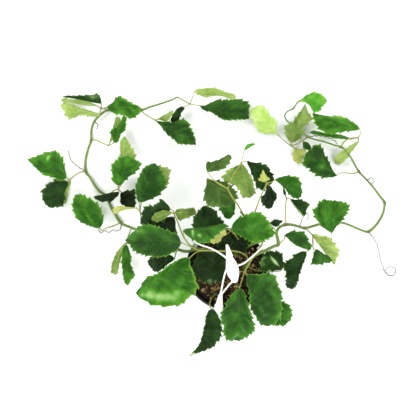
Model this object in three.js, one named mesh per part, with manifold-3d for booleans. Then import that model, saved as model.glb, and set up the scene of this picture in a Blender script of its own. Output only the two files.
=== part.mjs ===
// A chestnut vine in a 160 mm hanging pot that stands on a surface. Two long shoots leave the pot,
// come down over its rim and trail along the surface; shorter stems hold the crown of leaves above it.
// Millimetres, +Z up. The origin is the middle of the pot's base, on the surface, and -Y is the front.
import * as THREE from "three";
import { mergeVertices } from "three/addons/utils/BufferGeometryUtils.js";
import Module from "manifold-3d";

const wasm = await Module();
wasm.setup();

// Pot and mix
const POT_HEIGHT = 125;
const RIM_RADIUS = 80;
const RIM_DROP = 14;
const RIM_STEP = 4;
const BASE_RADIUS = 56;
const WALL = 2;
const FOOT_HEIGHT = 3;
const FLOOR_THICKNESS = 2.5;
const DRAIN_RADIUS = 4.5;
const DRAIN_CIRCLE = 39;
const SEAT_RADIUS = 27;
const DRAIN_COUNT = 6;
const POT_SIDES = 28;
const MIX_SIDES = 20;
const MIX_LEVEL = 108;
const MIX_RELIEF = 2.4;

// Clearances between pieces that touch
const GAP = 0.3;

// Detail finer than this is dropped where pieces are fused
const WELD = 0.15;

// Blades
const BLADE_THICKNESS = 0.9;
const VEIN_SWEEP = 0.42;
const PLEAT_HEIGHT = 1.1;
const TOOTH_DEPTH = 0.12;
const TOOTH_REACH = 0.03;
const TOOTH_SPACING = 20;
const FEWEST_TEETH = 2;
const MOST_TEETH = 5;
const PLAIN_BASE = 0.1;
const WIDE_BLADE = 66;
const BASE_HALF_WIDTH = 1.3;
const TIP_HALF_WIDTH = 0.4;

// Where the five half widths of each leaflet stand, as shares of its midrib
const STATIONS = [0.1, 0.3, 0.5, 0.7, 0.9];
const SETTLING_STEPS = 8;

// Stems
const STEM_SIDES = 5;
const STEM_STEP = 28;
const PETIOLE_SIDES = 4;
const PETIOLE_STEP = 30;
const TENDRIL_SIDES = 3;
const TENDRIL_STEP = 13;
const TENDRIL_RADIUS = 0.7;
const PETIOLE_RADIUS = 1.5;
const LEAFLET_STALK_RADIUS = 1.1;
const KNOT_SWELL = 1.35;

// The plant grows a little to the left of the middle of its pot and behind it
const CROWN_OFFSET = [-4, 10];

// Hanger
const STRAND_RADIUS = 1.9;
const STRAND_SIDES = 6;
const STRAND_STEP = 14;
const CLIP_THICKNESS = 2.4;
const CLIP_REACH = 6.2;
const CLIP_WIDTH = 9;
const FRONT_CLIP_WIDTH = 18;
const HUB_THICKNESS = 5;
const HUB_LOW = [17, -31, 186];
const HUB_HIGH = [5, 19, 206];
const HUB_OUTLINE = [[0, 3.5], [7, 7], [17, 11], [30, 12], [44, 9], [54, 5]];
const HOOK_WIDTH = 8;
const HOOK_INNER = 10;
const HOOK_OUTER = 15;
const HOOK_HEADING = 1.795;

const GREEN = 0x3d8a2c;
const DARK_GREEN = 0x20481f;
const BRIGHT_GREEN = 0x58a83a;
const PALE_GREEN = 0xb9d873;
const STEM_OLIVE = 0x6e8338;

// A closed mesh as a manifold solid, with its shared vertices merged.
function solidOf(geometry) {
  const bare = new THREE.BufferGeometry();
  bare.setAttribute("position", geometry.getAttribute("position"));
  if (geometry.index) bare.setIndex(geometry.index);
  const merged = mergeVertices(bare, 1e-4);
  const triVerts = new Uint32Array(merged.index.array);
  const vertProperties = new Float32Array(merged.getAttribute("position").array);
  return new wasm.Manifold(new wasm.Mesh({ numProp: 3, vertProperties, triVerts }));
}

function geometryOf(solid) {
  const mesh = solid.getMesh();
  const positions = new Float32Array(mesh.numVert * 3);
  for (let i = 0; i < mesh.numVert; i++) {
    const start = i * mesh.numProp;
    positions.set(mesh.vertProperties.subarray(start, start + 3), i * 3);
  }
  const geometry = new THREE.BufferGeometry();
  geometry.setAttribute("position", new THREE.BufferAttribute(positions, 3));
  geometry.setIndex(new THREE.BufferAttribute(new Uint32Array(mesh.triVerts), 1));
  geometry.computeVertexNormals();
  return geometry;
}

const joined = (solids) => solids.reduce((whole, next) => whole.add(next)).simplify(WELD);

// The largest body of a solid, without the slivers that a cut leaves behind.
function mainBody(solid) {
  return solid.decompose().sort((a, b) => b.volume() - a.volume())[0];
}

const vector = (point) => new THREE.Vector3(...point);

// A repeatable number from 0 to 1 for each pair of whole numbers.
function chance(first, second) {
  const wave = Math.sin(first * 12.9898 + second * 78.233) * 43758.5453;
  return wave - Math.floor(wave);
}

// A rod with a polygon section along a smooth curve through the points.
function rod(points, radius, sides, stepLength) {
  const path = new THREE.CatmullRomCurve3(points.map(vector), false, "centripetal");
  const corners = [];
  for (let i = 0; i < sides; i++) {
    const angle = (2 * Math.PI * i) / sides;
    corners.push(new THREE.Vector2(radius * Math.cos(angle), radius * Math.sin(angle)));
  }
  const steps = Math.max(1, Math.round(path.getLength() / stepLength));
  const section = new THREE.Shape(corners);
  return solidOf(new THREE.ExtrudeGeometry(section, { steps, bevelEnabled: false, extrudePath: path }));
}

function knot(point, radius) {
  const ball = new THREE.OctahedronGeometry(radius, 0);
  ball.translate(...point);
  return solidOf(ball);
}

// How far the margin stands from the midrib, on a smooth line through the five half widths.
function marginAt(widths, place) {
  const stops = [0, ...STATIONS, 1];
  const values = [BASE_HALF_WIDTH, ...widths, TIP_HALF_WIDTH];
  const last = stops.length - 1;
  const slope = (stop) => {
    const [before, after] = [Math.max(stop - 1, 0), Math.min(stop + 1, last)];
    return (values[after] - values[before]) / (stops[after] - stops[before]);
  };
  const k = Math.min(stops.findLastIndex((stop) => stop <= place), last - 1);
  const span = stops[k + 1] - stops[k];
  const t = (place - stops[k]) / span;
  const [rise, leaving, arriving] = [values[k + 1] - values[k], slope(k) * span, slope(k + 1) * span];
  const bend = 3 * rise - 2 * leaving - arriving;
  return values[k] + t * leaving + t * t * bend + t * t * t * (leaving + arriving - 2 * rise);
}

// The half width of the row of points that leaves the midrib at a place and sweeps forward from it.
function halfWidth(widths, sweep, length, place) {
  if (place <= 0) return BASE_HALF_WIDTH;
  if (place >= 1) return TIP_HALF_WIDTH;
  let width = marginAt(widths, place);
  for (let step = 0; step < SETTLING_STEPS; step++) {
    const outer = THREE.MathUtils.clamp(place + (sweep * width * (1 - place * place)) / length, 0, 1);
    width = (width + marginAt(widths, outer)) / 2;
  }
  return Math.max(width, BASE_HALF_WIDTH);
}

// The frame of a leaflet: its length, the way its midrib runs, its upper side and its right side.
function bladeFrame(leaflet) {
  const start = vector(leaflet.at);
  const along = vector(leaflet.to).sub(start);
  const length = along.length();
  along.normalize();
  const up = new THREE.Vector3(0, 0, 1).addScaledVector(along, -along.z).normalize();
  const right = new THREE.Vector3().crossVectors(along, up);
  return { start, along, up, right, length };
}

// A point of the leaflet's middle surface. Place runs along the midrib from 0 to 1, and side
// across the blade from -1 at the left margin to 1 at the right one. Tooth is 1 where a side
// vein ends in a tooth and 0 in a notch.
function bladePoint(leaflet, frame, place, side, tooth, serial) {
  const { length } = frame;
  const half = halfWidth(side < 0 ? leaflet.left : leaflet.right, leaflet.sweep, length, place);
  const toothSize = TOOTH_DEPTH * (0.55 + 0.9 * chance(leaflet.seed + (side < 0 ? 0.5 : 0), serial));
  const plain = place <= PLAIN_BASE || place >= 1;
  const notched = plain ? 1 : 1 - toothSize * (1 - tooth);
  const width = Math.max(half * notched, place >= 1 ? TIP_HALF_WIDTH : BASE_HALF_WIDTH);
  const share = Math.abs(side);
  const turn = (Math.PI / 180) * THREE.MathUtils.lerp(leaflet.roll[0], leaflet.roll[1], place);
  const rightward = frame.right.clone().multiplyScalar(Math.cos(turn)).addScaledVector(frame.up, -Math.sin(turn));
  const upward = frame.up.clone().multiplyScalar(Math.cos(turn)).addScaledVector(frame.right, Math.sin(turn));
  const face = leaflet.under ? -1 : 1;
  const bow = 4 * place * (1 - place);
  const fold = Math.tan((Math.PI / 180) * leaflet.fold);
  const lift =
    face * share * width * (fold - leaflet.curl * share) +
    (plain ? 0 : face * PLEAT_HEIGHT * (0.5 - tooth) * Math.sin(Math.PI * Math.min(share, 0.75))) +
    leaflet.wave * share * share * Math.sin(5.2 * place * Math.PI + leaflet.seed * 1.7 + (side < 0 ? 2.1 : 0));
  const forward = leaflet.sweep * width * share + (plain ? 0 : tooth * share * TOOTH_REACH * length);
  const point = frame.start.clone();
  point.addScaledVector(frame.along, length * place + forward * (1 - place * place));
  point.addScaledVector(frame.up, leaflet.arch * length * bow);
  point.addScaledVector(frame.right, leaflet.sway * length * bow);
  point.addScaledVector(rightward, Math.sign(side) * share * width);
  point.addScaledVector(upward, lift);
  return { point, upward };
}

// The rows of points across a leaflet's stalk, from where it leaves the petiole to the blade's base.
function stalkRows(route, radii, sides, frame) {
  const path = new THREE.CatmullRomCurve3(route.map(vector), false, "centripetal");
  const steps = Math.max(1, Math.round(path.getLength() / PETIOLE_STEP));
  const rows = [];
  for (let k = 0; k < steps; k++) {
    const place = k / steps;
    const along = path.getTangent(place);
    const up = frame.up.clone().addScaledVector(along, -along.dot(frame.up));
    if (up.length() < 0.2) up.copy(frame.along).negate().addScaledVector(along, along.dot(frame.along));
    up.normalize();
    const right = new THREE.Vector3().crossVectors(along, up);
    const radius = THREE.MathUtils.lerp(radii[0], radii[1], place);
    rows.push(
      sides.map((side) => ({
        point: path.getPoint(place).addScaledVector(right, side * radius),
        half: up.clone().multiplyScalar(radius * (1 - 0.5 * Math.abs(side))),
      })),
    );
  }
  return rows;
}

// A leaflet on its stalk: a thin closed blade with a folded midrib, pleats along its side veins and a
// toothed margin. The upper and lower faces are split into triangles alike.
function leafletSolid(leaflet, route, radii) {
  const frame = bladeFrame(leaflet);
  const teeth = THREE.MathUtils.clamp(Math.round(frame.length / TOOTH_SPACING), FEWEST_TEETH, MOST_TEETH);
  const broad = Math.max(...leaflet.left) + Math.max(...leaflet.right) > WIDE_BLADE;
  const sides = broad ? [-1, -0.5, 0, 0.5, 1] : [-1, 0, 1];
  const rows = stalkRows(route, radii, sides, frame);
  const bladeRow = (place, tooth, serial) =>
    sides.map((side) => {
      const here = side === 0 ? 0.5 : side < 0 ? tooth : 1 - tooth;
      const { point, upward } = bladePoint(leaflet, frame, place, side, here, serial);
      return { point, half: upward.multiplyScalar(BLADE_THICKNESS / 2) };
    });
  rows.push(bladeRow(0, 0, 0));
  for (let k = 0; k < 2 * teeth; k++) {
    rows.push(bladeRow(PLAIN_BASE + ((1 - PLAIN_BASE) * k) / (2 * teeth), k % 2, k + 1));
  }
  rows.push(bladeRow(1, 0, 2 * teeth + 1));
  const positions = [];
  for (const { point, half } of rows.flat()) {
    positions.push(...point.clone().add(half).toArray(), ...point.clone().sub(half).toArray());
  }
  const across = sides.length;
  const last = across - 1;
  const end = rows.length - 1;
  const at = (row, column, low) => 2 * (row * across + column) + low;
  const index = [];
  const quad = (a, b, c, d) => index.push(a, b, c, a, c, d);
  for (let row = 0; row < end; row++) {
    for (let column = 0; column < last; column++) {
      quad(at(row, column, 0), at(row, column + 1, 0), at(row + 1, column + 1, 0), at(row + 1, column, 0));
      const [a, b] = [at(row, column, 1), at(row, column + 1, 1)];
      const [c, d] = [at(row + 1, column + 1, 1), at(row + 1, column, 1)];
      index.push(a, c, b, a, d, c);
    }
    quad(at(row, 0, 1), at(row, 0, 0), at(row + 1, 0, 0), at(row + 1, 0, 1));
    quad(at(row, last, 0), at(row, last, 1), at(row + 1, last, 1), at(row + 1, last, 0));
  }
  for (let column = 0; column < last; column++) {
    quad(at(0, column, 0), at(0, column, 1), at(0, column + 1, 1), at(0, column + 1, 0));
    quad(at(end, column, 1), at(end, column, 0), at(end, column + 1, 0), at(end, column + 1, 1));
  }
  const geometry = new THREE.BufferGeometry();
  geometry.setAttribute("position", new THREE.Float32BufferAttribute(positions, 3));
  geometry.setIndex(index);
  return solidOf(geometry);
}

const PLAIN_LEAFLET = {
  roll: [0, 0],
  fold: 12,
  curl: 0.16,
  arch: 0.06,
  sway: 0,
  sweep: VEIN_SWEEP,
  wave: 1.5,
  under: false,
};

// A compound leaf: its petiole, and each leaflet on its own short stalk. A single leaflet stands on
// the petiole itself.
function compoundLeaf(leaf, serial) {
  const thickness = leaf.thickness ?? PETIOLE_RADIUS;
  const single = leaf.blades.length === 1;
  const hub = leaf.petiole[leaf.petiole.length - 1];
  const solids = leaf.blades.map((entry, number) => {
    const leaflet = { ...PLAIN_LEAFLET, seed: serial * 10 + number, ...entry };
    const start = single ? leaf.petiole : [leaflet.from ?? hub];
    const route = [...start, ...(leaflet.stalk ?? []), leaflet.at];
    return leafletSolid(leaflet, route, [single ? thickness : LEAFLET_STALK_RADIUS, LEAFLET_STALK_RADIUS]);
  });
  if (!single) {
    solids.push(rod(leaf.petiole, thickness, PETIOLE_SIDES, PETIOLE_STEP));
    solids.push(knot(hub, thickness * KNOT_SWELL));
  }
  for (const extra of leaf.extras ?? []) solids.push(rod(extra, TENDRIL_RADIUS, TENDRIL_SIDES, TENDRIL_STEP));
  return joined(solids);
}

// A stem of several internodes, each thinner than the one before, with a swollen node between them.
function stem(route, slack = 0) {
  const path = new THREE.CatmullRomCurve3(route.points.map(vector), false, "centripetal");
  const last = route.points.length - 1;
  const stops = [0, ...route.nodes, last];
  const solids = [];
  for (let k = 0; k < stops.length - 1; k++) {
    const thinning = k / Math.max(1, stops.length - 2);
    const radius = THREE.MathUtils.lerp(route.radii[0], route.radii[1], thinning) + slack;
    const pieces = [];
    const count = Math.max(2, 2 * (stops[k + 1] - stops[k]));
    for (let i = 0; i <= count; i++) {
      const place = THREE.MathUtils.lerp(stops[k], stops[k + 1], i / count) / last;
      pieces.push(path.getPoint(place).toArray());
    }
    solids.push(rod(pieces, radius, STEM_SIDES, STEM_STEP));
    if (k > 0) solids.push(knot(route.points[stops[k]], radius * KNOT_SWELL + 0.3));
  }
  for (const tendril of slack ? [] : (route.tendrils ?? [])) {
    solids.push(rod(tendril, TENDRIL_RADIUS, TENDRIL_SIDES, TENDRIL_STEP));
  }
  return joined(solids);
}

// Routes of the stems, from inside the mix outwards
const STEMS = {
  left_shoot: {
    points: [
      [-6, 14, 94], [-10, 17, 114], [-26, 24, 140], [-52, 26, 151], [-72, 22, 150], [-92, 27, 142],
      [-116, 42, 124], [-142, 58, 92], [-165, 70, 55], [-184, 78, 28], [-206, 90, 9], [-218, 108, 4],
      [-228, 126, 4], [-236, 144, 5.2], [-249, 153, 6], [-259, 166, 8], [-268, 181, 6], [-276, 192, 5],
      [-277, 216, 4], [-274, 230, 6], [-270, 244, 6], [-266, 256, 4.6], [-266, 270, 5], [-264, 282, 8],
      [-260, 292, 10], [-254, 300, 10], [-246, 308, 8], [-232, 317, 5], [-200, 319, 5], [-166, 316, 7],
      [-148, 322, 12], [-128, 328, 14], [-108, 335, 13], [-93, 342, 11],
    ],
    nodes: [3, 10, 13, 17, 21, 27, 29],
    radii: [3.1, 2.1],
    tendrils: [
      [[-206, 90, 9], [-206, 78, 10], [-214, 73, 14], [-222, 75, 10], [-230, 70, 8], [-238, 74, 5], [-246, 70, 3],
        [-252, 76, 2]],
      [[-276, 192, 5], [-288, 200, 6], [-298, 207, 9], [-306, 216, 9], [-310, 228, 4], [-312, 236, 1.6]],
      [[-260, 292, 10], [-256, 290, 16], [-252, 284, 14], [-256, 278, 8]],
    ],
  },
  right_shoot: {
    points: [
      [34, -8, 94], [38, -7, 114], [47, 3, 143], [60, 14, 162], [78, 21, 175], [94, 29, 182], [104, 33, 183],
      [103, 44, 184], [101, 56, 183], [106, 66, 181], [118, 72, 178], [132, 72, 173], [146, 69, 166], [156, 67, 158],
      [172, 72, 141], [188, 78, 122], [212, 84, 92], [234, 85, 64], [252, 81, 42], [268, 76, 22], [288, 72, 6],
      [298, 79, 3.4], [308, 91, 3.4], [316, 105, 3.4], [320, 119, 3.6], [321, 131, 3.4], [312, 143, 4],
      [300, 159, 6], [286, 175, 8], [270, 192, 8], [262, 205, 12], [252, 222, 17], [242, 235, 18], [234, 241, 15],
      [220, 245, 14], [202, 251, 16], [184, 255, 20], [168, 260, 25], [148, 275, 31], [134, 285, 34], [124, 293, 35],
      [121, 301, 35], [126, 310, 35], [138, 316, 35], [145, 326, 34], [150, 331, 33], [160, 331, 32], [166, 327, 30],
    ],
    nodes: [6, 10, 13, 20, 25, 29, 33, 37, 43, 45],
    radii: [3.2, 1.1],
    tendrils: [
      [[288, 72, 6], [300, 56, 10], [307, 40, 14], [310, 24, 14], [316, 4, 8], [322, -10, 3], [336, -16, 2],
        [343, -4, 2.6], [332, 2, 4.2], [322, -4, 5.6], [326, -14, 6.4]],
      [[146, 69, 166], [152, 86, 172], [158, 94, 174], [164, 90, 172], [160, 82, 170]],
      [[168, 260, 25], [182, 262, 28], [196, 262, 24], [212, 258, 20], [222, 252, 20], [226, 246, 22]],
      [[286, 175, 8], [294, 180, 9], [300, 174, 6], [296, 168, 3]],
    ],
  },
  back_stem: {
    points: [
      [16, 18, 94], [20, 20, 114], [40, 30, 132], [62, 40, 145], [76, 45, 152], [68, 60, 163], [54, 76, 173],
      [38, 89, 180], [31, 96, 186],
    ],
    nodes: [4, 7],
    radii: [3, 2],
  },
  front_stem: {
    points: [[-12, -52, 94], [-17, -58, 110], [-24, -65, 122]],
    nodes: [1],
    radii: [2.2, 1.8],
  },
};

// Leaves. Each petiole runs from its stem to the joint of the leaflets. A leaflet runs from "at" to "to".
// "left" and "right" are its half widths at the stations along the midrib, as seen from above. "under"
// leaflets lie turned over, with their pale lower side up.
const LEAVES = {
  left_leaf_1: {
    colour: GREEN,
    petiole: [[-206, 90, 9], [-222, 82, 20], [-234, 78, 26], [-242, 73, 28]],
    blades: [
      { at: [-248, 77, 30], to: [-297, 144, 22], left: [8, 16, 21, 19, 11], right: [17, 25, 27, 21, 16] },
    ],
  },
  left_leaf_2: {
    colour: GREEN,
    petiole: [[-152, 65, 76], [-160, 80, 84], [-164, 95, 87], [-166, 106, 87]],
    blades: [
      {
        at: [-168, 124, 86], to: [-137, 203, 64], left: [9.5, 18.5, 20, 19, 11],
        right: [15.5, 31, 39, 31, 17],
      },
      {
        stalk: [[-164, 122, 80]], at: [-160, 132, 74], to: [-105, 191, 54], left: [8, 18, 26, 30, 18],
        right: [5, 10, 14, 15, 3], under: true,
      },
      {
        at: [-173, 113, 84], to: [-220, 105.5, 40], left: [1.5, 2, 4, 6.5, 6], right: [1.5, 2, 4, 6.5, 6],
        sway: 0.09, under: true,
      },
    ],
  },
  left_leaf_3: {
    colour: GREEN,
    petiole: [[-236, 144, 5.2], [-226, 148, 24], [-217, 152, 40], [-210, 154, 45]],
    blades: [
      {
        at: [-210, 160, 50], to: [-190, 220, 40], left: [16, 19.5, 27, 24, 12], right: [7, 11, 23, 29, 28],
      },
      {
        at: [-206, 162, 38], to: [-197, 261, 24], left: [8, 12, 7, 8, 9], right: [8, 20, 25, 21, 8],
        under: true,
      },
      { at: [-209, 147, 38], to: [-260, 140, 16], left: [9, 15, 14, 12, 5], right: [3, 3, 2, 2, 2] },
      {
        at: [-204, 148, 38], to: [-188, 116, 16], left: [27, 23, 21, 19, 14], right: [5.5, 9, 11, 8, 3],
        sweep: 0.1,
      },
    ],
  },
  left_leaf_4: {
    colour: GREEN,
    petiole: [[-276, 192, 5], [-284, 191, 16], [-296, 184, 26], [-307, 174, 30]],
    blades: [
      { at: [-314, 177, 35], to: [-392, 215, 24], left: [9, 12, 15, 11, 4], right: [15, 36, 39, 27, 10] },
      { at: [-312, 170, 28], to: [-350, 120, 12], left: [6, 8, 19, 21, 10], right: [12, 27, 30, 31, 20] },
      {
        at: [-306, 171, 22], to: [-318, 127.5, 6], left: [1.5, 1.5, 1.5, 2, 2], right: [33, 22, 10, 8, 6],
        sweep: 0, under: true,
      },
    ],
  },
  left_leaf_5: {
    colour: GREEN,
    petiole: [[-266, 256, 4.6], [-256, 255, 14], [-242, 248, 25], [-230, 242, 30]],
    blades: [
      {
        at: [-219, 248, 33], to: [-199, 303, 24], left: [6, 17, 9, 3.5, 2], right: [8, 7, 12.5, 10, 7.5],
        roll: [10, -20],
      },
      {
        at: [-228, 249, 27], to: [-215, 302, 18], left: [1.5, 1.5, 1.5, 1.5, 1.5],
        right: [4, 8, 11, 11, 12], under: true,
      },
    ],
  },
  left_leaf_6: {
    colour: GREEN,
    petiole: [[-232, 317, 5], [-238, 318, 16], [-246, 318, 23]],
    blades: [
      {
        at: [-245, 328, 27], to: [-322, 342, 22], left: [2, 2, 1.5, 1.5, 1.5],
        right: [16, 12.5, 9, 5.5, 2.5],
      },
      {
        at: [-248, 305, 23], to: [-327.5, 325, 10], left: [6.5, 9.5, 11, 24, 9],
        right: [2.5, 4, 5, 7.5, 8.5], under: true,
      },
      {
        stalk: [[-240, 318, 28]], at: [-233, 320, 30], to: [-166, 318, 22], left: [7, 23, 18.5, 12, 5],
        right: [10.5, 16, 18, 22, 17],
      },
      {
        at: [-255, 324, 18], to: [-327, 334.5, 12], left: [2, 3, 3, 1.5, 2], right: [3.5, 9, 9, 5, 7],
        under: true,
      },
    ],
  },
  left_leaf_7: {
    colour: GREEN,
    petiole: [[-166, 316, 7], [-158, 307, 18], [-146, 299, 26], [-137, 293, 29]],
    blades: [
      { at: [-134, 291, 31], to: [-56, 245, 18], left: [5, 14, 32, 25, 12], right: [4, 12, 15, 16, 6] },
      {
        at: [-132, 296, 24], to: [-102, 313, 18], left: [1.5, 2, 1.5, 1.5, 1.5], right: [6, 13, 13, 9, 5],
        under: true,
      },
    ],
  },
  left_leaf_8: {
    colour: GREEN,
    petiole: [[-93, 342, 11], [-86, 337, 20], [-77, 331, 27], [-68, 326, 30]],
    blades: [
      {
        stalk: [[-76, 322, 27]], at: [-80, 320, 24], to: [-106, 292, 8], left: [4, 4, 8, 12, 10],
        right: [6, 8.5, 8, 7, 4],
      },
      {
        stalk: [[-64, 336, 34]], at: [-58, 351, 38], to: [24, 340, 26], left: [6.5, 10, 12.5, 7.5, 5.5],
        right: [8, 9.5, 4, 3, 6.5], under: true,
      },
      { at: [-48, 322, 31], to: [50, 298, 14], left: [3, 20, 26, 35, 34], right: [7, 9.5, 16, 12.5, 5] },
    ],
  },
  crown_leaf_left: {
    colour: GREEN,
    petiole: [[47, 3, 143], [42, 13, 160], [24, 20, 175], [-4, 20, 183], [-28, 21, 186], [-50, 21, 186]],
    thickness: 1.8,
    blades: [
      {
        stalk: [[-68, 29, 188]], at: [-84, 37, 187], to: [-194, 48, 104], left: [20, 32, 32, 27, 10],
        right: [17, 25, 31, 28, 11],
      },
      {
        stalk: [[-62, 12, 188]], at: [-68, 6, 188], to: [-173, -58, 122], left: [60, 67, 66, 52, 30],
        right: [8.5, 10, 9, 14, 5], sweep: -0.35,
      },
      {
        stalk: [[-68, 31, 190], [-77, 44, 198]], at: [-80, 58, 203], to: [8, 67, 197],
        left: [4, 3, 3, 4, 6], right: [16, 27.5, 29, 32, 18], fold: 6,
      },
      {
        at: [-48, 20, 178], to: [4, -26, 150], left: [6, 20, 32, 26, 15], right: [26, 38, 39, 28, 9],
        sweep: 0,
      },
      {
        stalk: [[-44, 23, 170], [-40, 37, 158]], at: [-42, 52, 156], to: [-34, 112, 146],
        left: [18, 24, 23.5, 20, 11], right: [24, 34, 38.5, 26, 14],
      },
    ],
  },
  crown_leaf_top: {
    colour: BRIGHT_GREEN,
    petiole: [[40, 30, 132], [28, 44, 158], [16, 57, 184], [8, 61, 197]],
    blades: [
      { at: [13, 62, 204], to: [98, 54, 202], left: [21, 30.5, 37, 33, 12], right: [9, 15, 23, 20.5, 12] },
      {
        from: [12, 59, 190], at: [6, 54, 178], to: [-4, 24, 164], left: [9, 14, 14, 10, 5],
        right: [9, 15, 17, 13, 6],
      },
      {
        from: [20, 53, 176], at: [16, 56, 166], to: [36, 16, 142], left: [12, 20, 22, 18, 9],
        right: [9, 15, 16, 13, 6],
      },
      {
        at: [2, 61, 188], to: [-30, 40, 186], left: [10, 7, 13, 12, 9], right: [10, 8, 3, 2, 2],
        under: true,
      },
    ],
  },
  crown_leaf_back: {
    colour: GREEN,
    petiole: [[38, 89, 180], [27, 107, 195], [14, 124, 212], [6, 138, 222]],
    thickness: 1.7,
    blades: [
      {
        stalk: [[-16, 150, 226]], at: [-34, 171, 228], to: [12, 204, 212], left: [15, 11, 7, 5, 4],
        right: [6, 12.5, 16, 13.5, 8], fold: 22,
      },
      {
        stalk: [[-18, 152, 226]], at: [-34, 158, 222], to: [12, 107, 194], left: [5, 19.5, 26, 28, 21],
        right: [9, 30, 35, 25.5, 11],
      },
      {
        stalk: [[18, 166, 224]], at: [32, 186, 225], to: [48, 124, 182], left: [6, 11, 15, 14.5, 14],
        right: [34, 42, 24, 17, 14], under: true,
      },
      {
        stalk: [[18, 166, 224], [34, 189, 222]], at: [44, 192, 216], to: [92, 152, 184],
        left: [3.5, 14.5, 19.5, 17, 12], right: [5.5, 12, 19.5, 26, 22],
      },
      {
        from: [14, 124, 212], at: [16, 118, 196], to: [4, 84, 172], left: [8, 9.5, 10.5, 13, 6],
        right: [12, 20, 22, 16, 6],
      },
      {
        stalk: [[18, 166, 224], [33, 192, 226], [36, 206, 226]], at: [39, 214, 225],
        to: [59.5, 225.5, 220], left: [4, 6, 6, 5, 2], right: [3, 2.4, 1.5, 1.5, 1.5],
      },
    ],
  },
  crown_leaf_right: {
    colour: GREEN,
    petiole: [[54, 76, 173], [58, 92, 187], [68, 120, 206], [82, 150, 214]],
    blades: [
      {
        at: [77, 152, 217], to: [74, 175, 213], left: [11, 9, 6.7, 4, 1.7],
        right: [10.5, 7.7, 5.2, 3, 1.7],
      },
      {
        stalk: [[91, 151, 217]], at: [98, 156, 218], to: [148.5, 125, 202],
        left: [11, 20.5, 27, 25, 11.5], right: [2, 4.5, 8, 12, 9],
      },
      { at: [86, 146, 209], to: [92, 104, 184], left: [5, 11, 12.7, 8, 2], right: [7, 14, 22, 17, 14] },
    ],
  },
  crown_leaf_low: {
    colour: DARK_GREEN,
    petiole: [[-52, 26, 151], [-68, 35, 153], [-80, 51, 154], [-88, 71, 153], [-94, 87, 151],
      [-98, 95, 150]],
    blades: [
      {
        at: [-96, 98, 150], to: [-55, 99, 132], left: [6.5, 8, 8, 9.4, 10],
        right: [11.7, 15.5, 11.6, 8.2, 4], under: true,
      },
      {
        at: [-104, 99, 148], to: [-142, 86, 130], left: [4, 7, 9, 9, 5], right: [4, 8, 10, 9, 5],
        under: true,
      },
      {
        stalk: [[-100, 102, 146]], at: [-106, 106, 142], to: [-164.5, 80.5, 98],
        left: [8, 20, 24, 20, 10], right: [24.5, 19.5, 24.5, 24, 8],
      },
      { at: [-97, 88, 142], to: [-148, 66, 112], left: [28, 26, 22, 15, 8], right: [6, 9, 9, 8, 5] },
    ],
  },
  crown_leaf_under: {
    colour: DARK_GREEN,
    petiole: [[-92, 27, 142], [-95, 18, 141], [-97, 11, 138]],
    blades: [
      { at: [-98, 8, 137], to: [-148, -2, 96], left: [4.6, 9, 15, 17, 6], right: [10, 16, 18, 17, 14] },
    ],
  },
  crown_leaf_hanging: {
    colour: GREEN,
    petiole: [[-184, 78, 28], [-188, 66, 44], [-191, 56, 54], [-192, 48, 58]],
    blades: [
      {
        at: [-194, 42, 58], to: [-191.5, -35.5, 14], left: [5.8, 10.5, 8, 15.5, 6.5],
        right: [6.8, 10.7, 10.7, 9.5, 7], roll: [6, 0],
      },
      {
        at: [-197, 44, 56], to: [-224, -12, 12], left: [3, 5, 6, 10, 11], right: [4, 8, 8.6, 7, 4],
        under: true,
      },
    ],
  },
  crown_leaf_front: {
    colour: GREEN,
    petiole: [[76, 45, 152], [72, 34, 163], [62, 18, 170], [52, 4, 172], [38, -20, 170]],
    thickness: 1.7,
    blades: [
      {
        stalk: [[34, -34, 168]], at: [29, -50, 162], to: [27, -150, 100],
        left: [11.5, 19.5, 27.5, 32.5, 16], right: [14.5, 28, 37, 30, 25.5], arch: 0.09,
      },
      {
        at: [44, -25, 167], to: [89, -120, 100], left: [43, 49, 47, 37, 26.5],
        right: [6.5, 14.5, 20.5, 19.5, 16], arch: 0.09, sweep: -0.1,
      },
    ],
    extras: [[[38, -20, 170], [32, -18, 171], [27, -18, 169]]],
  },
  crown_leaf_side: {
    colour: DARK_GREEN,
    petiole: [[41, -3, 124], [62, -14, 136], [88, -16, 146], [108, -16, 148]],
    blades: [
      {
        at: [112, -13, 150], to: [82, 22, 152], left: [10, 24, 33, 30, 19], right: [9, 16, 19, 16, 7],
        fold: 18, sweep: 0.2,
      },
    ],
  },
  crown_leaf_edge: {
    colour: DARK_GREEN,
    petiole: [[38, -7, 114], [50, -30, 130], [68, -52, 136], [78, -65, 132]],
    blades: [
      {
        at: [80, -68, 128], to: [122, -116, 78], left: [10, 20, 27, 27.5, 17.5],
        right: [8, 16, 22, 23, 13],
      },
    ],
  },
  crown_leaf_drooping: {
    colour: DARK_GREEN,
    petiole: [[-24, -65, 122], [-28, -75, 133], [-28, -86, 134]],
    blades: [
      {
        at: [-23, -89, 130], to: [-69, -178, 58], left: [22, 29.5, 25, 15.5, 4],
        right: [10, 10.5, 7.5, 4, 3], fold: 20, sway: -0.1, sweep: 0.1,
      },
    ],
  },
  right_leaf_axil: {
    colour: DARK_GREEN,
    petiole: [[101, 56, 183], [96, 64, 188], [89, 70, 190]],
    blades: [
      {
        at: [89, 74, 190], to: [112.5, 78.6, 189], left: [3.2, 5.5, 5.5, 3, 1.5], right: [6, 9, 9.3, 7, 3],
      },
    ],
  },
  right_leaf_oval: {
    colour: GREEN,
    petiole: [[104, 33, 183], [110, 38, 188], [116, 43, 191]],
    blades: [
      { at: [116, 50, 192], to: [168, 25, 180], left: [11, 20, 22, 17.5, 9], right: [1.5, 6, 8, 7.4, 5.8] },
    ],
  },
  right_leaf_folded: {
    colour: DARK_GREEN,
    petiole: [[118, 72, 178], [118, 88, 188], [118, 106, 194], [120, 122, 196]],
    blades: [
      {
        at: [128, 120, 195], to: [156, 90, 176], left: [4.5, 14, 19, 16.5, 6], right: [3.5, 5, 6, 6, 6.5],
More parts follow.
